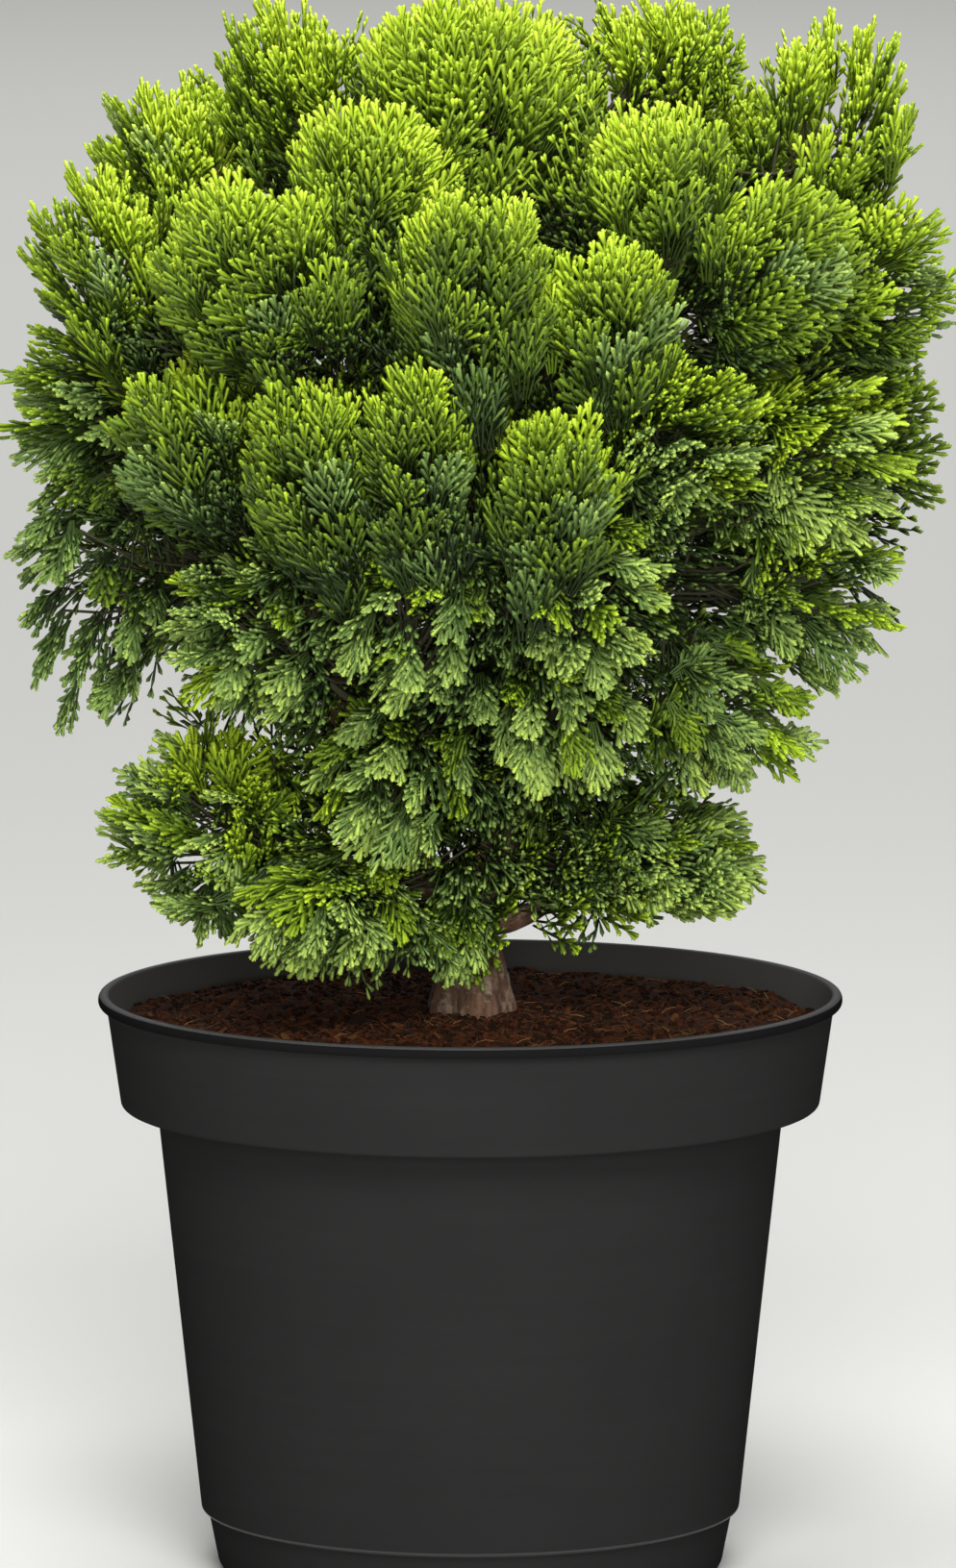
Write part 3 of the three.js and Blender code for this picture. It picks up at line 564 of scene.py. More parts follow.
def smooth_path(knots, spacing):
    """Points about a spacing apart along a centripetal Catmull-Rom curve through the knots."""
    knots = [Vector(k) * MM for k in knots]
    padded = [2 * knots[0] - knots[1], *knots, 2 * knots[-1] - knots[-2]]
    fine = []
    for p0, p1, p2, p3 in zip(padded, padded[1:], padded[2:], padded[3:]):
        d0, d1, d2 = (math.sqrt((b - a).length) for a, b in ((p0, p1), (p1, p2), (p2, p3)))
        leave = (p1 - p0) / d0 - (p2 - p0) / (d0 + d1) + (p2 - p1) / d1
        arrive = (p2 - p1) / d1 - (p3 - p1) / (d1 + d2) + (p3 - p2) / d2
        for step in range(CURVE_STEPS):
            t = step / CURVE_STEPS
            point = p1 * (2 * t**3 - 3 * t**2 + 1) + p2 * (3 * t**2 - 2 * t**3)
            point += leave * d1 * (t**3 - 2 * t**2 + t) + arrive * d1 * (t**3 - t**2)
            fine.append(point)
    fine.append(knots[-1])
    lengths = np.concatenate([[0], np.cumsum([(b - a).length for a, b in zip(fine, fine[1:])])])
    marks = np.linspace(0, lengths[-1], max(4, round(lengths[-1] / spacing)) + 1)
    columns = [np.interp(marks, lengths, [p[axis] for p in fine]) for axis in range(3)]
    return [Vector(point) for point in zip(*columns)]


def at_height(path, height):
    """The point of a path at a height."""
    heights = [p.z for p in path]
    return Vector([np.interp(height, heights, [p[axis] for p in path]) for axis in range(3)])


limbs = {}
limbs["trunk"] = SimpleNamespace(
    node="trunk", foot=8.2 * MM, tip=2.4 * MM, relief=0.75 * MM, sides=56, spacing=1.1 * MM,
    knots=((0, 0, 144.2), (0, 0, 152), (-1, 0, 170), (9, 1, 188), (13, 2, 206), (11, 3, 252), (7, 4, 300),
           (3, 5, 346)),
)
limbs["left"] = SimpleNamespace(
    node="left_limb", foot=5.6 * MM, tip=2.4 * MM, relief=0.4 * MM, sides=32, spacing=1.6 * MM,
    knots=((-1, 0, 168), (-14, -3, 182), (-26, -4, 200), (-36, -5, 240), (-42, -6, 280), (-46, -6, 318)),
)
for limb in limbs.values():
    limb.path = smooth_path(limb.knots, limb.spacing)
# name, the limb it leaves, the height it leaves at, and how far out and how far below its tufts it ends
BOUGHS = (
    ("upper_front", "trunk", 284, 0.5, 16),
    ("upper_right", "trunk", 296, 0.5, 16),
    ("right", "trunk", 272, 0.6, 16),
    ("upper_back", "trunk", 290, 0.55, 16),
    ("middle_left", "left", 232, 0.6, 16),
    ("middle_front", "trunk", 244, 0.52, 16),
    ("middle_right", "trunk", 258, 0.5, 16),
    ("middle_back", "trunk", 240, 0.6, 16),
    ("low_front", "trunk", 203, 0.5, 16),
    ("low_right", "trunk", 210, 0.6, 16),
    ("low_back", "trunk", 196, 0.6, 16),
    ("bottom_left", "left", 183, 0.62, 2),
    ("bottom_right", "trunk", 164, 0.5, 6),
)
for name, parent, height, reach, drop in BOUGHS:
    carried = [tuft.middle for tuft in tufts if tuft.limb == name]
    middle = sum(carried, Vector()) / len(carried)
    start = at_height(limbs[parent].path, height * MM)
    tip = Vector((middle.x * reach, middle.y * reach, middle.z - drop * MM))
    belly = start.lerp(tip, 0.5) - UP * BOUGH_SAG * (tip - start).length
    bough = SimpleNamespace(node="bough_" + name, foot=3.4 * MM, tip=2 * MM, relief=0.25 * MM, sides=20)
    bough.path = smooth_path([p / MM for p in (start, belly, tip)], 1.6 * MM)
    limbs[name] = bough


def bark_relief(angle, height, limb):
    """How far the bark stands out: long fibrous ridges with finer flakes on them."""
    around = Vector((math.cos(angle), math.sin(angle), 0)) * (limb.foot / MM) * RIDGES_ROUND
    up = UP * height / MM
    ridges = noise.fractal(around + up * RIDGES_ALONG, *RIDGE_FRACTAL)
    flakes = noise.fractal(around * FLAKES_TO_RIDGES + up * FLAKES_ALONG, *FLAKE_FRACTAL)
    return limb.relief * (RIDGES_PROUD * ridges + FLAKES_PROUD * abs(flakes) - BARK_SUNK)


def limb_mesh(limb):
    """A tapering limb with bark relief and a rounded knuckle at its tip, and UVs that run along it."""
    bm = bmesh.new()
    uv = bm.loops.layers.uv.new("bark")
    path = limb.path
    across = (path[1] - path[0]).orthogonal().normalized()
    if limb.node == "trunk":
        across = Vector((1, 0, 0))
    rings, travelled = [], 0.0
    for i, point in enumerate(path):
        ahead = (path[min(i + 1, len(path) - 1)] - path[max(i - 1, 0)]).normalized()
        across = (across - ahead * across.dot(ahead)).normalized()
        beside = ahead.cross(across)
        along = i / (len(path) - 1)
        if i:
            travelled += (point - path[i - 1]).length
        taper = along**TRUNK_TAPER if limb.node == "trunk" else along
        radius = limb.foot + (limb.tip - limb.foot) * taper
        swell = max(0, 1 - (path[-1] - point).length / (KNUCKLE_LENGTH * KNUCKLE_RADIUS)) ** 2
        radius += (KNUCKLE_RADIUS - limb.tip) * swell
        ring = []
        for side in range(limb.sides):
            angle = 2 * math.pi * side / limb.sides
            wide = radius
            if limb.node == "trunk":
                lobes = [strong * math.cos(count * angle + turn) for count, strong, turn in FLARE_LOBES]
                wide *= 1 + FLARE * max(0, 1 - along / FLARE_END) ** 2 * sum(lobes, FLARE_MEAN)
            wide += bark_relief(angle, travelled + point.x, limb)
            spot = point + (across * math.cos(angle) + beside * math.sin(angle)) * wide
            if i == 0 and limb.node == "trunk":
                spot.z = TRUNK_FOOT
            ring.append(bm.verts.new(spot))
        rings.append((ring, travelled))
    for (low, v0), (high, v1) in zip(rings, rings[1:]):
        for i, face in enumerate(bridge(bm, low, high)):
            for loop, (u, v) in zip(face.loops, ((i, v0), (i + 1, v0), (i + 1, v1), (i, v1))):
                loop[uv].uv = (u / limb.sides * limb.foot * BARK_WRAP, v)
    bm.faces.new(rings[0][0])
    end = bm.verts.new(path[-1] + (path[-1] - path[-2]).normalized() * KNUCKLE_RADIUS * KNUCKLE_CAP)
    bridge(bm, rings[-1][0], [end])
    return new_object("limb_" + limb.node, bm)


BARK_DARK = hex_colour("2e1d12")
BARK_RED = hex_colour("71503a")
BARK_PALE = hex_colour("a08e78")
bark, shader, add = new_material("bark", BARK_RED, 0.85)
place = add("ShaderNodeUVMap", {"uv_map": "bark"})
stretch = add("ShaderNodeMapping", Vector=place, Scale=(700, 170, 1))
fibres = add("ShaderNodeTexNoise", Vector=stretch, Scale=1.0, Detail=7.0, Roughness=0.75)
deep = add("ShaderNodeMapRange", Value=fibres, From_Min=0.36, From_Max=0.62)
tint = add("ShaderNodeMix", {"data_type": "RGBA"}, _0=deep, _6=BARK_DARK, _7=BARK_RED)
patch = add("ShaderNodeMapping", Vector=place, Scale=(260, 190, 1))
flecks = add("ShaderNodeTexNoise", Vector=patch, Scale=1.0, Detail=6.0, Roughness=0.75)
pale = add("ShaderNodeMapRange", Value=flecks, From_Min=0.5, From_Max=0.68)
finish = add("ShaderNodeMix", {"data_type": "RGBA"}, _0=pale, _6=tint.outputs[2], _7=BARK_PALE)
relief = add("ShaderNodeBump", Strength=0.7, Distance=0.0008, Height=fibres)
feed(shader, finish, relief)

for limb in limbs.values():
    piece = limb_mesh(limb)
    piece.data.materials.append(bark)
    smooth(piece, math.radians(70))
    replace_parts(piece, limb.node)
    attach(piece, "root")

# ---------------------------------------------------------------- sprays
# Hinoki foliage is flat fans of fine ribs, each set alternately with blunt scale-leaved branchlets. The
# fans of a tuft overlap like scallop shells. Those of its crest are fresh and yellow-green, and painted
# lighter still as painted light. Those below it are mature and greyer, and those inside the crown are
# painted dark, as painted shade.
FRESH = ("1a2805", "2a3b08", "40560c", "5b7413", "7c961b", "9cb822", "b2cb30", "c1d842")
MATURE = ("18240b", "283914", "3d5320", "587133", "768f44", "96af52", "aec656", "c0d758")
# The layers of a tuft, from its outline inwards:
#   reach           how far out its tips lie, the first that keeps to the tuft's own space
#   fans            how many there are to a tuft of TUFT_AREA
#   length          a fan's length
#   ribs, laterals  how many ribs a fan has, and how many laterals a rib
#   lighter         how many steps of green it is lighter than the tuft: the inner layers are painted darker, as painted shade
#   set_back        how many spreads it stands back towards the crown's axis
#   inner           whether it is hidden, and made of plainer branchlets
#   valley          whether its fans stand only beside a neighbour, where they close the gap to it
OUTER = dict(ribs=5, laterals=7, inner=False, set_back=0, valley=False)
INSIDE = dict(ribs=4, laterals=4, inner=True, set_back=0, valley=False)
VALLEY_REACHES = (1.85, 1.65, 1.5, 1.35, 1.2, 1.08, 0.96, 0.86, 0.76)
LAYERS = (
    dict(OUTER, reach=(1.02, 0.93, 0.84, 0.75, 0.66), fans=25, length=26 * MM, lighter=0),
    dict(INSIDE, reach=VALLEY_REACHES, fans=16, length=25 * MM, lighter=-1.2, valley=True),
    dict(INSIDE, reach=(0.84, 0.76, 0.68), fans=12, length=22 * MM, lighter=-1.0),
    dict(INSIDE, reach=(1.25, 1.1, 1, 0.9), fans=16, length=24 * MM, lighter=-1.4, set_back=0.85),
    dict(INSIDE, reach=(1.5, 1.35, 1.2), fans=9, length=28 * MM, lighter=-1.8, set_back=1.7),
    dict(INSIDE, reach=(1.6, 1.3), fans=5, length=30 * MM, lighter=-2, set_back=2.5),
)
TUFT_AREA = (21 * MM) ** 2
USUAL_WIDTH = 1 - math.cos(math.radians(USUAL["opening"]))
FILLED_FANS = 0.3  # the share of fans that filling adds
GOLDEN_ANGLE = math.pi * (3 - math.sqrt(5))
TURN_STRAY = 0.5  # in radians
SOURCE_OUT = 0.9  # how many spreads out from the tuft's middle its fans' source lies
LOWEST_TIP = 151 * MM
SPACE_MARGIN = 0.5 * MM  # how far inside its tuft's own space a tip stays
SET_BACK_OVERLAP = 5 * MM  # how far past that it may go, for each spread that its layer is set back
VALLEY_DEPTH = 7 * MM  # no deeper than this inside its tuft's space does a fan close a valley
PROUDEST_VALLEY = 0.6  # how many spreads out, ahead or away from the crown's middle such a fan stands
LONGEST_VALLEY = 2  # and how many from the middle of its layer
# A tuft's outline swells and its sprays swerve by smooth noise, so that it breaks up into lobes.
LOBES = 1.6
LOBE_SIZE = 7 * MM
LOBE_HEIGHT = 0.14
SWERVE = 0.9
noise.seed_set(3)  # without it the swerve would differ from run to run
# How far the fans differ: in length, place of the tip, roll in radians, and shade.
FAN_LENGTHS = (0.85, 1.15)
TIP_PLACES = (0.93, 1.03)
FAN_ROLL = 0.45
FAN_TONES = 0.18
# A loose fan is shorter and narrower, and its branchlets lift: the powers of its looseness.
LOOSE_SHORTER, LOOSE_NARROWER, LOOSE_LIFT = 0.3, 0.5, 1.6
# A fan's flat side follows its place on the outline, and faces out where the sprays rise or hang.
FOLLOW_OUTLINE, FACE_OUT = 0.7, 0.8
# A fan is lighter the further ahead it stands, and lightest on the crest, the tuft's far edge as seen
# from outside: partly fresh growth, partly painted light, with painted shade behind and under the tuft.
# Its tips are lighter than its foot, on the crest most of all: fresh tips over a foot in painted shade.
AHEAD_LIGHTER, AHEAD_MEAN = 1.4, 0.8
CREST_EDGE = 0.6
CREST_LIGHTER = 2.2
HANGING_CREST = 0.5  # how much of a crest a tuft has whose sprays hang
TIPS_LIGHTER, CREST_TIPS_LIGHTER, TIPS_MEAN = 2.6, 2.0, 0.82
# Low fans are mature more often than high ones, and a little lighter than the fresh ones beside them.
MATURE_LOW, MATURE_FALL = 1.7, 1.3
MATURE_MEAN = 0.6


def depth_in_space(point, tuft):
    """How far a point lies inside the tuft's own side of the crown."""
    depth = math.inf
    for other in tufts:
        if other is tuft:
            continue
        across = other.middle - tuft.middle
        share = (tuft.spread + tuft.rise) / (tuft.spread + tuft.rise + other.spread + other.rise)
        depth = min(depth, across.length * share - (point - tuft.middle).dot(across.normalized()))
    return depth


def closes_valley(away, depth, tuft):
    """Whether a tip so far away from its layer's middle stands low between two tufts."""
    proud = max(away.dot(course) for course in (tuft.outward, tuft.flow, tuft.radial)) / tuft.spread
    is_short = away.length <= LONGEST_VALLEY * tuft.wide * tuft.spread
    return depth <= VALLEY_DEPTH and proud <= PROUDEST_VALLEY and is_short


def lay_flat(fan, facing, tuft, roll):
    """Sets the fan's flat side, and how far it bends up towards its tip."""
    normal = FOLLOW_OUTLINE * facing + FACE_OUT * abs(math.sin(tuft.slope)) * tuft.outward
    normal += tuft.flat * math.cos(tuft.slope) ** 2 * UP
    fan.normal = (normal - fan.along * normal.dot(fan.along)).normalized()
    fan.normal.rotate(Quaternion(fan.along, roll))
    fan.across = fan.along.cross(fan.normal)
    fan.bend = (UP - fan.along * UP.dot(fan.along)) * FAN_BEND * math.sin(tuft.slope)


def shade_fan(fan, facing, tuft, layer, tone, luck):
    """Deals the fan its shade, partly painted light and shade, and whether it is mature."""
    ahead = 0.5 + 0.5 * facing.dot(tuft.flow)
    high = 0.5 + 0.5 * facing.z
    rising = tuft.slope > 0
    crest = max(0, min(1, 2 * ahead * (1 - facing.dot(tuft.outward)) - CREST_EDGE))
    crest *= 1 if rising else HANGING_CREST
    fan.mature = luck < tuft.mature * (MATURE_LOW - MATURE_FALL * high - crest * rising)
    # The tuft's light and the layer's lighter step are painted light and shade, with some of the tuft's
    # own tone.
    fan.shade = tuft.light + layer.lighter + tone + AHEAD_LIGHTER * (ahead - AHEAD_MEAN)
    fan.shade += CREST_LIGHTER * crest
    # A filled tuft's set-back layers are painted lighter, as painted light.
    fan.shade += tuft.filled * (layer.set_back > 0) + tuft.mature * (fan.mature - MATURE_MEAN)
    fan.gain = TIPS_LIGHTER + CREST_TIPS_LIGHTER * crest


def fans_of(tuft, draw):
    """The fans of a tuft by its seeded rule: apex, axes, length, number of ribs and shade."""
    side = tuft.pole.cross(UP).normalized()
    front = side.cross(tuft.pole)
    beside = UP.cross(tuft.outward)
    width = 1 - math.cos(tuft.opening)
    area = tuft.spread * tuft.rise * tuft.wide * width / USUAL_WIDTH
    found = []
    for number, row in enumerate(LAYERS):
        layer = SimpleNamespace(**row)
        count = round(layer.fans * (1 + FILLED_FANS * tuft.filled) * area / TUFT_AREA)
        middle = tuft.middle - tuft.pole * layer.set_back * tuft.spread
        source = middle - tuft.flow * tuft.source * tuft.rise + tuft.pole * SOURCE_OUT * tuft.spread
        least_depth = SPACE_MARGIN - layer.set_back * SET_BACK_OVERLAP
        for i in range(count):
            cosine = 1 - width * (i + 0.5) / count
            sine = math.sqrt(1 - cosine**2)
            turn = i * GOLDEN_ANGLE + TURN_STRAY * draw.random() + number
            facing = tuft.pole * cosine + (side * math.cos(turn) + front * math.sin(turn)) * sine
            tall = tuft.rise if facing.z > 0 else tuft.drop
            offset = Vector((facing.x * tuft.spread, facing.y * tuft.spread, facing.z * tall))
            offset += beside * facing.dot(beside) * tuft.spread * (tuft.wide - 1)
            fan = SimpleNamespace(ribs=layer.ribs, laterals=layer.laterals, inner=layer.inner)
            fan.loose = 1 if layer.inner else tuft.loose
            fan.length = layer.length * draw.uniform(*FAN_LENGTHS) / fan.loose**LOOSE_SHORTER
            stray = draw.uniform(*TIP_PLACES)
            roll = draw.uniform(-FAN_ROLL, FAN_ROLL) * tuft.loose
            tone = draw.gauss(0, FAN_TONES) * tuft.loose
            luck = draw.random()
            spot = facing * LOBES * tuft.wide
            spot += Vector((tuft.middle.x, tuft.middle.z, number)) / LOBE_SIZE
            stray += LOBE_HEIGHT * tuft.wide * noise.noise(spot)
            swerve = noise.noise_vector(spot) * SWERVE * tuft.loose * tuft.rise
            for reach in layer.reach:
                tip = middle + offset * reach * tuft.reach * stray
                depth = depth_in_space(tip, tuft)
                if depth > least_depth and tip.z > LOWEST_TIP:
                    break
            else:
                continue
            if layer.valley and not closes_valley(tip - middle, depth, tuft):
                continue
            fan.along = (tip - source - swerve).normalized()
            fan.apex = tip - fan.along * fan.length
            lay_flat(fan, facing, tuft, roll)
            shade_fan(fan, facing, tuft, layer, tone, luck)
            found.append(fan)
    return found


# A fan's outer ribs splay by its half angle, are shorter, and cup away from its flat side. Its foot is a
# bare stalk, and it bends up towards its tip. Lengths are shares of the fan's.
FAN_HALF_ANGLE = math.radians(15)
FAN_STALK = 0.22
FAN_CUP = 0.1
FAN_BEND = 0.22
OUTER_RIBS_SHORTER = 0.12
RIB_WIDTH = 0.9 * MM
RIB_DARKER = 1.5
RIB_SPLAYS, RIB_LENGTHS = (0.85, 1.15), (0.88, 1.04)  # how far the ribs differ
STEM_END = 0.9  # the stem of a rib runs so far along it
# The laterals stand left and right by turns. They lose length and lean along the rib, and lengths and
# places are shares of the rib's. The last branchlet goes straight on.
FIRST_LATERAL, LATERALS_RUN = 0.16, 0.62
LATERAL_LENGTH, LENGTH_LOSS = 0.36, 0.2
LATERAL_LEAN, LEAN_LOSS = 30, 10
LATERAL_LIFT = 0.14
LATERAL_LEANS, LATERAL_LENGTHS = (0.8, 1.2), (0.85, 1.2)  # how far the branchlets differ
LAST_PLACE, LAST_LENGTH = 0.82, 0.2
BRANCHLET_WIDTH = 1.2 * MM
BRANCHLET_TONES = 0.5
PLAIN, NUBBED, FORKED, INNER = range(4)


def branchlets_of(fan, draw):
    """The branchlets of a fan: foot, heading, flat side, length, width, shade, shape, if it is mature."""
    found = []
    for rib in range(fan.ribs):
        share = 2 * rib / (fan.ribs - 1) - 1
        angle = share * FAN_HALF_ANGLE * draw.uniform(*RIB_SPLAYS) / fan.loose**LOOSE_NARROWER
        heading = fan.along * math.cos(angle) + fan.across * math.sin(angle)
        heading = (heading - fan.normal * FAN_CUP * share**2).normalized()
        foot = fan.apex + heading * fan.length * FAN_STALK
        length = fan.length * (1 - FAN_STALK) * (1 - OUTER_RIBS_SHORTER * share**2)
        length *= draw.uniform(*RIB_LENGTHS)
        normal = (fan.normal - heading * fan.normal.dot(heading)).normalized()
        across = heading.cross(normal)

        def place(along):
            return foot + (heading + fan.bend * along) * length * along

        stem = place(STEM_END) - foot
        shape = INNER if fan.inner else PLAIN
        tone = fan.shade - RIB_DARKER
        found.append((foot, stem.normalized(), normal, stem.length, RIB_WIDTH, tone, shape, fan.mature))
        for i in range(fan.laterals + 1):
            if i == fan.laterals:
                along, long = LAST_PLACE, LAST_LENGTH
                hand, lean = draw.choice((-1, 1)), 0
                shape = FORKED
            else:
                along = FIRST_LATERAL + LATERALS_RUN * i / (fan.laterals - 1)
                long = LATERAL_LENGTH - LENGTH_LOSS * along
                hand = (-1) ** (i + rib)
                lean = hand * math.radians(LATERAL_LEAN - LEAN_LOSS * along)
                lean *= draw.uniform(*LATERAL_LEANS)
                shape = NUBBED if i > 2 and i % 2 else PLAIN
            if fan.inner or i < 2:
                shape = INNER
            lift = draw.uniform(-LATERAL_LIFT, LATERAL_LIFT) * fan.loose**LOOSE_LIFT
            ahead = (heading + 2 * along * fan.bend).normalized()
            course = (ahead * math.cos(lean) + across * math.sin(lean) + normal * lift).normalized()
            long = length * long * draw.uniform(*LATERAL_LENGTHS)
            start = place(along)
            out = (start + course * long - fan.apex).length / fan.length
            tone = fan.shade + fan.gain * (out - TIPS_MEAN) + draw.gauss(0, BRANCHLET_TONES)
            found.append((start, course, normal * hand, long, BRANCHLET_WIDTH, tone, shape, fan.mature))
    return found


# A branchlet of unit length and width is a three-sided rod that tapers to a blunt tip. A ring holds its
# x, y, half width and half thickness, and a nub its hand and its place.
ROD = ((0, 0, 0.36, 0.32), (-0.12, 0.86, 0.5, 0.42))
SPINDLE = ((0, 0, 0, 0), (0, 0.8, 0.52, 0.42))
NUB_FOOT, NUB_OUT, NUB_LENGTH, NUB_THICKNESS = 0.2, 0.72, 0.26, 0.22
BRANCHLET_THICKNESS = 0.8  # as a share of its width


def branchlet_mesh(name, rings_of, nubs):
    """A branchlet along Y, with a level on each face: 0 along it and 1 at its growing tips."""
    bm = bmesh.new()
    level = bm.faces.layers.int.new("level")

    def rod(rings, end, levels):
        loops = []
        for x, y, wide, thick in rings:
            corners = ((-wide, -thick), (wide, -thick), (0, thick)) if wide else ((0, 0),)
            loops.append([bm.verts.new((x + dx, y, dz)) for dx, dz in corners])
        loops.append([bm.verts.new((*end, 0))])
        for step, (low, high) in enumerate(zip(loops, loops[1:])):
            for face in bridge(bm, low, high):
                face[level] = levels[step]
        if len(loops[0]) > 1:
            bm.faces.new(loops[0])[level] = levels[0]

    rod(rings_of, (rings_of[-1][0], 1), (0,) * (len(rings_of) - 1) + (1,))
    for hand, y in nubs:
        ring = (hand * NUB_FOOT, y, NUB_THICKNESS, NUB_THICKNESS)
        rod((ring,), (hand * NUB_OUT, y + NUB_LENGTH), (1,))
    thing = new_object(name, bm)
    thing.data.shade_smooth()
    bpy.context.scene.collection.objects.unlink(thing)
    return thing


NEAR = 0.4  # whole numbers that differ by less are the same


def foliage_tree(shapes):
    """Sets one of the shapes on each point, turned, sized and painted by the point's attributes."""
    tree, add, start = new_tree("foliage", {label: "Object" for label in shapes})

    def read(name, kind):
        return add("GeometryNodeInputNamedAttribute", {"data_type": kind}, Name=name)

    def matches(value, number):
        same = {"operation": "EQUAL"}
        return add("FunctionNodeCompare", same, _0=value, _1=float(number), Epsilon=NEAR)

    turn, size, kind = read("turn", "QUATERNION"), read("size", "FLOAT_VECTOR"), read("kind", "INT")
    joined = add("GeometryNodeJoinGeometry")
    for i, label in enumerate(shapes):
        shape = add("GeometryNodeObjectInfo", Object=start[label])
        laid = add("GeometryNodeInstanceOnPoints", Points=start["Geometry"], Selection=matches(kind, i),
                   Instance=shape.outputs["Geometry"], Rotation=turn, Scale=size)
        tree.links.new(laid.outputs[0], joined.inputs[0])
    last = add("GeometryNodeRealizeInstances", Geometry=joined)
    tone = add("ShaderNodeMath", _0=read("shade", "INT"), _1=read("level", "INT"))
    for i, green in enumerate(greens):
        fits = matches(tone, i)
        last = add("GeometryNodeSetMaterial", Geometry=last, Selection=fits, Material=green)
    add("NodeGroupOutput", Geometry=last)
    return tree


greens = []
for label, codes in (("fresh", FRESH), ("mature", MATURE)):
    for i, code in enumerate(codes):
        greens.append(new_material(f"{label}_foliage_{i}", hex_colour(code), 0.6, 0.3)[0])
branchlets = {
    "Branchlet": branchlet_mesh("branchlet", ROD, ()),
    "Nubbed branchlet": branchlet_mesh("nubbed_branchlet", ROD, ((1, 0.6),)),
    "Forked branchlet": branchlet_mesh("forked_branchlet", ROD, ((-1, 0.52), (1, 0.7))),
    "Inner branchlet": branchlet_mesh("inner_branchlet", SPINDLE, ()),
}
foliage = foliage_tree(branchlets)


def points_object(name, rows):
    """A mesh of loose points, one for each branchlet, that carries its turn, size, shade and kind."""
    mesh = bpy.data.meshes.new(name)
    mesh.from_pydata([row[0] for row in rows], [], [])
    turns, sizes, shades, kinds = [], [], [], []
    lightest = len(FRESH) - 2  # a branchlet's tip is one step lighter than the rest of it
    for _, heading, normal, long, wide, tone, kind, mature in rows:
        across = heading.cross(normal).normalized()
        basis = Matrix((across, heading, across.cross(heading))).transposed()
        turns.extend(basis.to_quaternion())
        sizes.extend((wide, long, wide * BRANCHLET_THICKNESS))
        shades.append(max(0, min(lightest, round(tone))) + len(FRESH) * mature)
        kinds.append(kind)
    mesh.attributes.new("turn", "QUATERNION", "POINT").data.foreach_set("value", turns)
    mesh.attributes.new("size", "FLOAT_VECTOR", "POINT").data.foreach_set("vector", sizes)
    mesh.attributes.new("shade", "INT", "POINT").data.foreach_set("value", shades)
    mesh.attributes.new("kind", "INT", "POINT").data.foreach_set("value", kinds)
    return shown(name, mesh)


def dress(name, fans, draw):
    """A piece of foliage made of fans."""
    rows = [row for fan in fans for row in branchlets_of(fan, draw)]
    piece = points_object(name, rows)
    grown(piece, foliage, branchlets)
    for label in ("turn", "size", "shade", "kind", "level"):
        if label in piece.data.attributes:
            piece.data.attributes.remove(piece.data.attributes[label])
    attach(piece, "root")
    return piece


# A stem runs from the limb's tip into each tuft's core, and twigs leave its outer part for the fans.
STEM_RADII = (1.2 * MM, 0.8 * MM)
TWIG_RADII = (0.5 * MM, 0.35 * MM)
TWIGS_FROM = 0.6
twig_lines = []
for seed, tuft in enumerate(tufts, 1):
    draw = random.Random(seed)
    fans = fans_of(tuft, draw)
    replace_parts(dress("foliage_" + tuft.name, fans, draw), "tuft_" + tuft.name)
    root = limbs[tuft.limb].path[-1]
    if tuft.start:
        root = at_height(limbs[tuft.limb].path, tuft.start * MM)
    twig_lines.append((root, tuft.core, *STEM_RADII))
    for fan in fans[::2]:
        foot = tuft.core.lerp(root, TWIGS_FROM * draw.random())
        twig_lines.append((foot, fan.apex + fan.along * FAN_STALK * fan.length, *TWIG_RADII))

# ---------------------------------------------------------------- shoots of the limbs
# Short shoots of the same foliage stand all along the trunk, the limb and the boughs, and fill the crown
# behind its tufts, painted dark as painted shade. Those of a limb that ends low stand closer, are longer
# and fuller, and are painted lighter, as painted light under the crown.
LOW_LIMB = 200 * MM
LOWEST_SHOOT = 163 * MM
SHOOT_SPACING = 1.7 * MM
SHOOT_LENGTHS = (20, 31)
SHOOT_LEAN = 0.5  # towards the limb's tip
SHOOT_SHADE = 2.0
SHOOT_TONES = 0.4
SHOOT_TIPS_LIGHTER = 1.5
MATURE_SHOOTS = 0.5
# laterals to a rib, if hidden, share of the spacing and of the length, how far it rises and rolls, how
# much lighter it is painted, as painted light, and the lowest height of its tip
SHOOT_SORT = ("laterals", "inner", "spacing", "longer", "rise", "rolls", "lighter", "lowest")
HIGH_SHOOTS = (4, True, 1, 1, 0.15, (-1, 1), 0, 163 * MM)
LOW_SHOOTS = (6, False, 0.5, 1.25, 0.35, (0.5, 1.6), 1.4, 161 * MM)

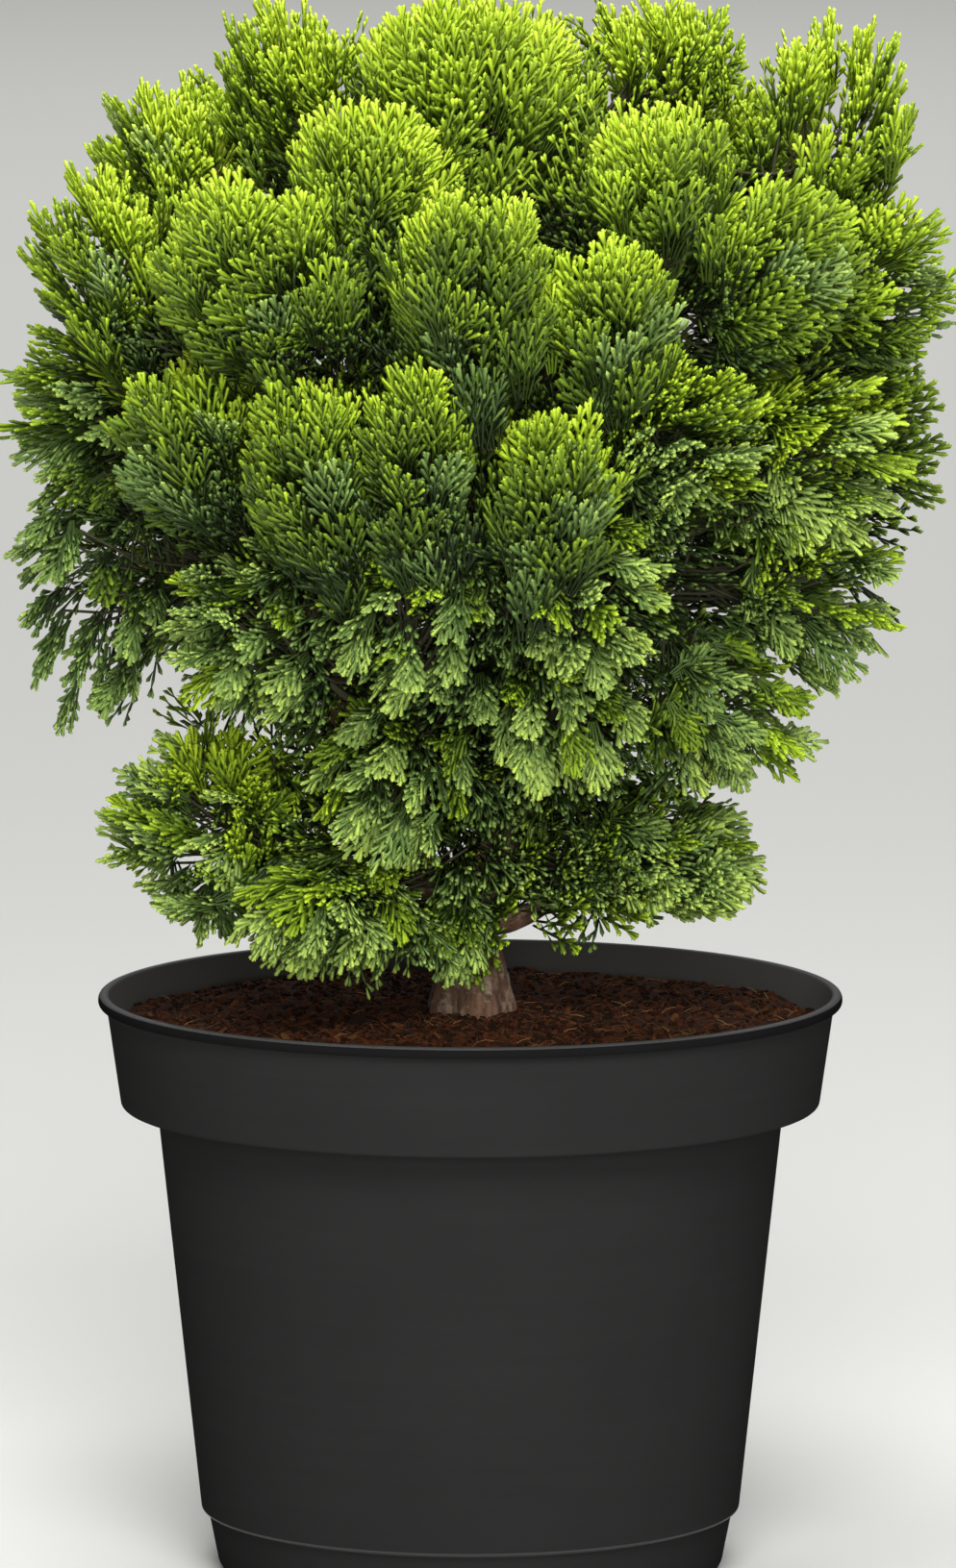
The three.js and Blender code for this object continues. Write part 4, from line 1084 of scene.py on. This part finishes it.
draw = random.Random(0)
shoots = []
for limb in limbs.values():
    path = limb.path
    sort = LOW_SHOOTS if path[-1].z < LOW_LIMB else HIGH_SHOOTS
    sort = SimpleNamespace(**dict(zip(SHOOT_SORT, sort)))
    step = max(1, round(SHOOT_SPACING * sort.spacing / (path[1] - path[0]).length))
    for i in range(step, len(path) - 1, step):
        if path[i].z < LOWEST_SHOOT:
            continue
        course = (path[i + 1] - path[i]).normalized()
        side = course.orthogonal().normalized()
        side.rotate(Quaternion(course, i * GOLDEN_ANGLE))
        shoot = SimpleNamespace(ribs=4, laterals=sort.laterals, inner=sort.inner, loose=1)
        shoot.length = draw.uniform(*SHOOT_LENGTHS) * sort.longer * MM
        shoot.along = (side + course * SHOOT_LEAN + UP * sort.rise).normalized()
        shoot.normal = shoot.along.cross(UP.cross(shoot.along)).normalized()
        shoot.normal.rotate(Quaternion(shoot.along, draw.uniform(*sort.rolls)))
        shoot.across = shoot.along.cross(shoot.normal)
        shoot.bend = Vector()
        shoot.apex = path[i]
        shoot.shade = SHOOT_SHADE + sort.lighter + draw.gauss(0, SHOOT_TONES)
        shoot.gain = SHOOT_TIPS_LIGHTER
        shoot.mature = draw.random() < MATURE_SHOOTS
        if shoot.apex.z + shoot.along.z * shoot.length > sort.lowest:
            shoots.append(shoot)
dress("foliage_of_the_limbs", shoots, draw)

# ---------------------------------------------------------------- twigs
# The stems and twigs that carry the fans are thin round wood, still green-brown, that sags a little
# between the limbs and the sprays.
TWIG_STEPS = 4
TWIG_SIDES = 4
TWIG_SAG = 0.1
twig_bark = new_material("twig_bark", hex_colour("34331a"), 0.8)[0]


def twig_tree():
    """Turns edges into twigs, as thick as their points say."""
    tree, add, start = new_tree("twigs", {"Sides": "Int"})
    line = add("GeometryNodeMeshToCurve", Mesh=start["Geometry"])
    thick = add("GeometryNodeInputNamedAttribute", {"data_type": "FLOAT"}, Name="thick")
    ring = add("GeometryNodeCurvePrimitiveCircle", Resolution=start["Sides"], Radius=1.0)
    tube = add("GeometryNodeCurveToMesh", Curve=line, Profile_Curve=ring, Scale=thick, Fill_Caps=True)
    solid = add("GeometryNodeRealizeInstances", Geometry=tube)
    painted = add("GeometryNodeSetMaterial", Geometry=solid, Material=twig_bark)
    add("NodeGroupOutput", Geometry=painted)
    return tree


spots, edges, thickness = [], [], []
for foot, tip, thick, thin in twig_lines:
    sag = Vector((0, 0, -TWIG_SAG * (tip - foot).length))
    for step in range(TWIG_STEPS + 1):
        share = step / TWIG_STEPS
        if step:
            edges.append((len(spots) - 1, len(spots)))
        spots.append(foot.lerp(tip, share) + sag * 4 * share * (1 - share))
        thickness.append(thick + (thin - thick) * share)
mesh = bpy.data.meshes.new("twigs")
mesh.from_pydata(spots, edges, [])
mesh.attributes.new("thick", "FLOAT", "POINT").data.foreach_set("value", thickness)
twigs = shown("twigs", mesh)
grown(twigs, twig_tree(), {"Sides": TWIG_SIDES})
twigs.data.shade_smooth()
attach(twigs, "root")

# ---------------------------------------------------------------- floor, light and camera
# A pale floor that runs back to the horizon, large soft lights, and a long lens that looks down a
# little on the rim.
FLOOR_RADIUS = 30
FLOOR_DROP = 0.2 * MM  # the floor lies just under the pot, so that the two don't meet
floor = turned("floor", [(0, 0), (FLOOR_RADIUS, 0)], 64)
floor.location.z = -FLOOR_DROP
floor.data.materials.append(new_material("paper", hex_colour("d6d6d2"), 0.9)[0])

sky = bpy.data.worlds.new("studio")
sky.use_nodes = True
sky.node_tree.nodes["Background"].inputs[0].default_value = (1, 1, 1, 1)
sky.node_tree.nodes["Background"].inputs[1].default_value = 0.14
bpy.context.scene.world = sky


def soft_light(name, place, target, size, watts):
    """A square area light that faces a target."""
    lamp = bpy.data.lights.new(name, "AREA")
    lamp.size, lamp.energy = size, watts
    thing = shown(name, lamp)
    thing.location = place
    thing.rotation_euler = (Vector(target) - Vector(place)).to_track_quat("-Z", "Y").to_euler()
    thing.visible_camera = False


soft_light("key", (0.1, -1.6, 1.5), (0, 0, 0.28), 0.9, 40)
soft_light("top", (-0.1, -0.1, 1.7), (0, 0, 0.3), 0.6, 14)
soft_light("front", (0.2, -2.3, 0.5), (0, 0, 0.2), 0.8, 30)
soft_light("ceiling", (0, 4, 4), (0, 3.6, 0), 5, 170)
bpy.context.scene.view_settings.view_transform = "Standard"

CAMERA_DISTANCE = 3.0
CAMERA_HEIGHT = 0.598
AIM_HEIGHT = 0.2013
AXIS_OFFSET = 1.96 * MM  # the pot's axis stands a little left of the frame's middle
lens = bpy.data.cameras.new("camera")
lens.lens = 273.2
camera = shown("camera", lens)
camera.location = (AXIS_OFFSET, -CAMERA_DISTANCE, CAMERA_HEIGHT)
aim = Vector((AXIS_OFFSET, 0, AIM_HEIGHT)) - camera.location
camera.rotation_euler = aim.to_track_quat("-Z", "Y").to_euler()
bpy.context.scene.camera = camera

bpy.context.view_layer.update()
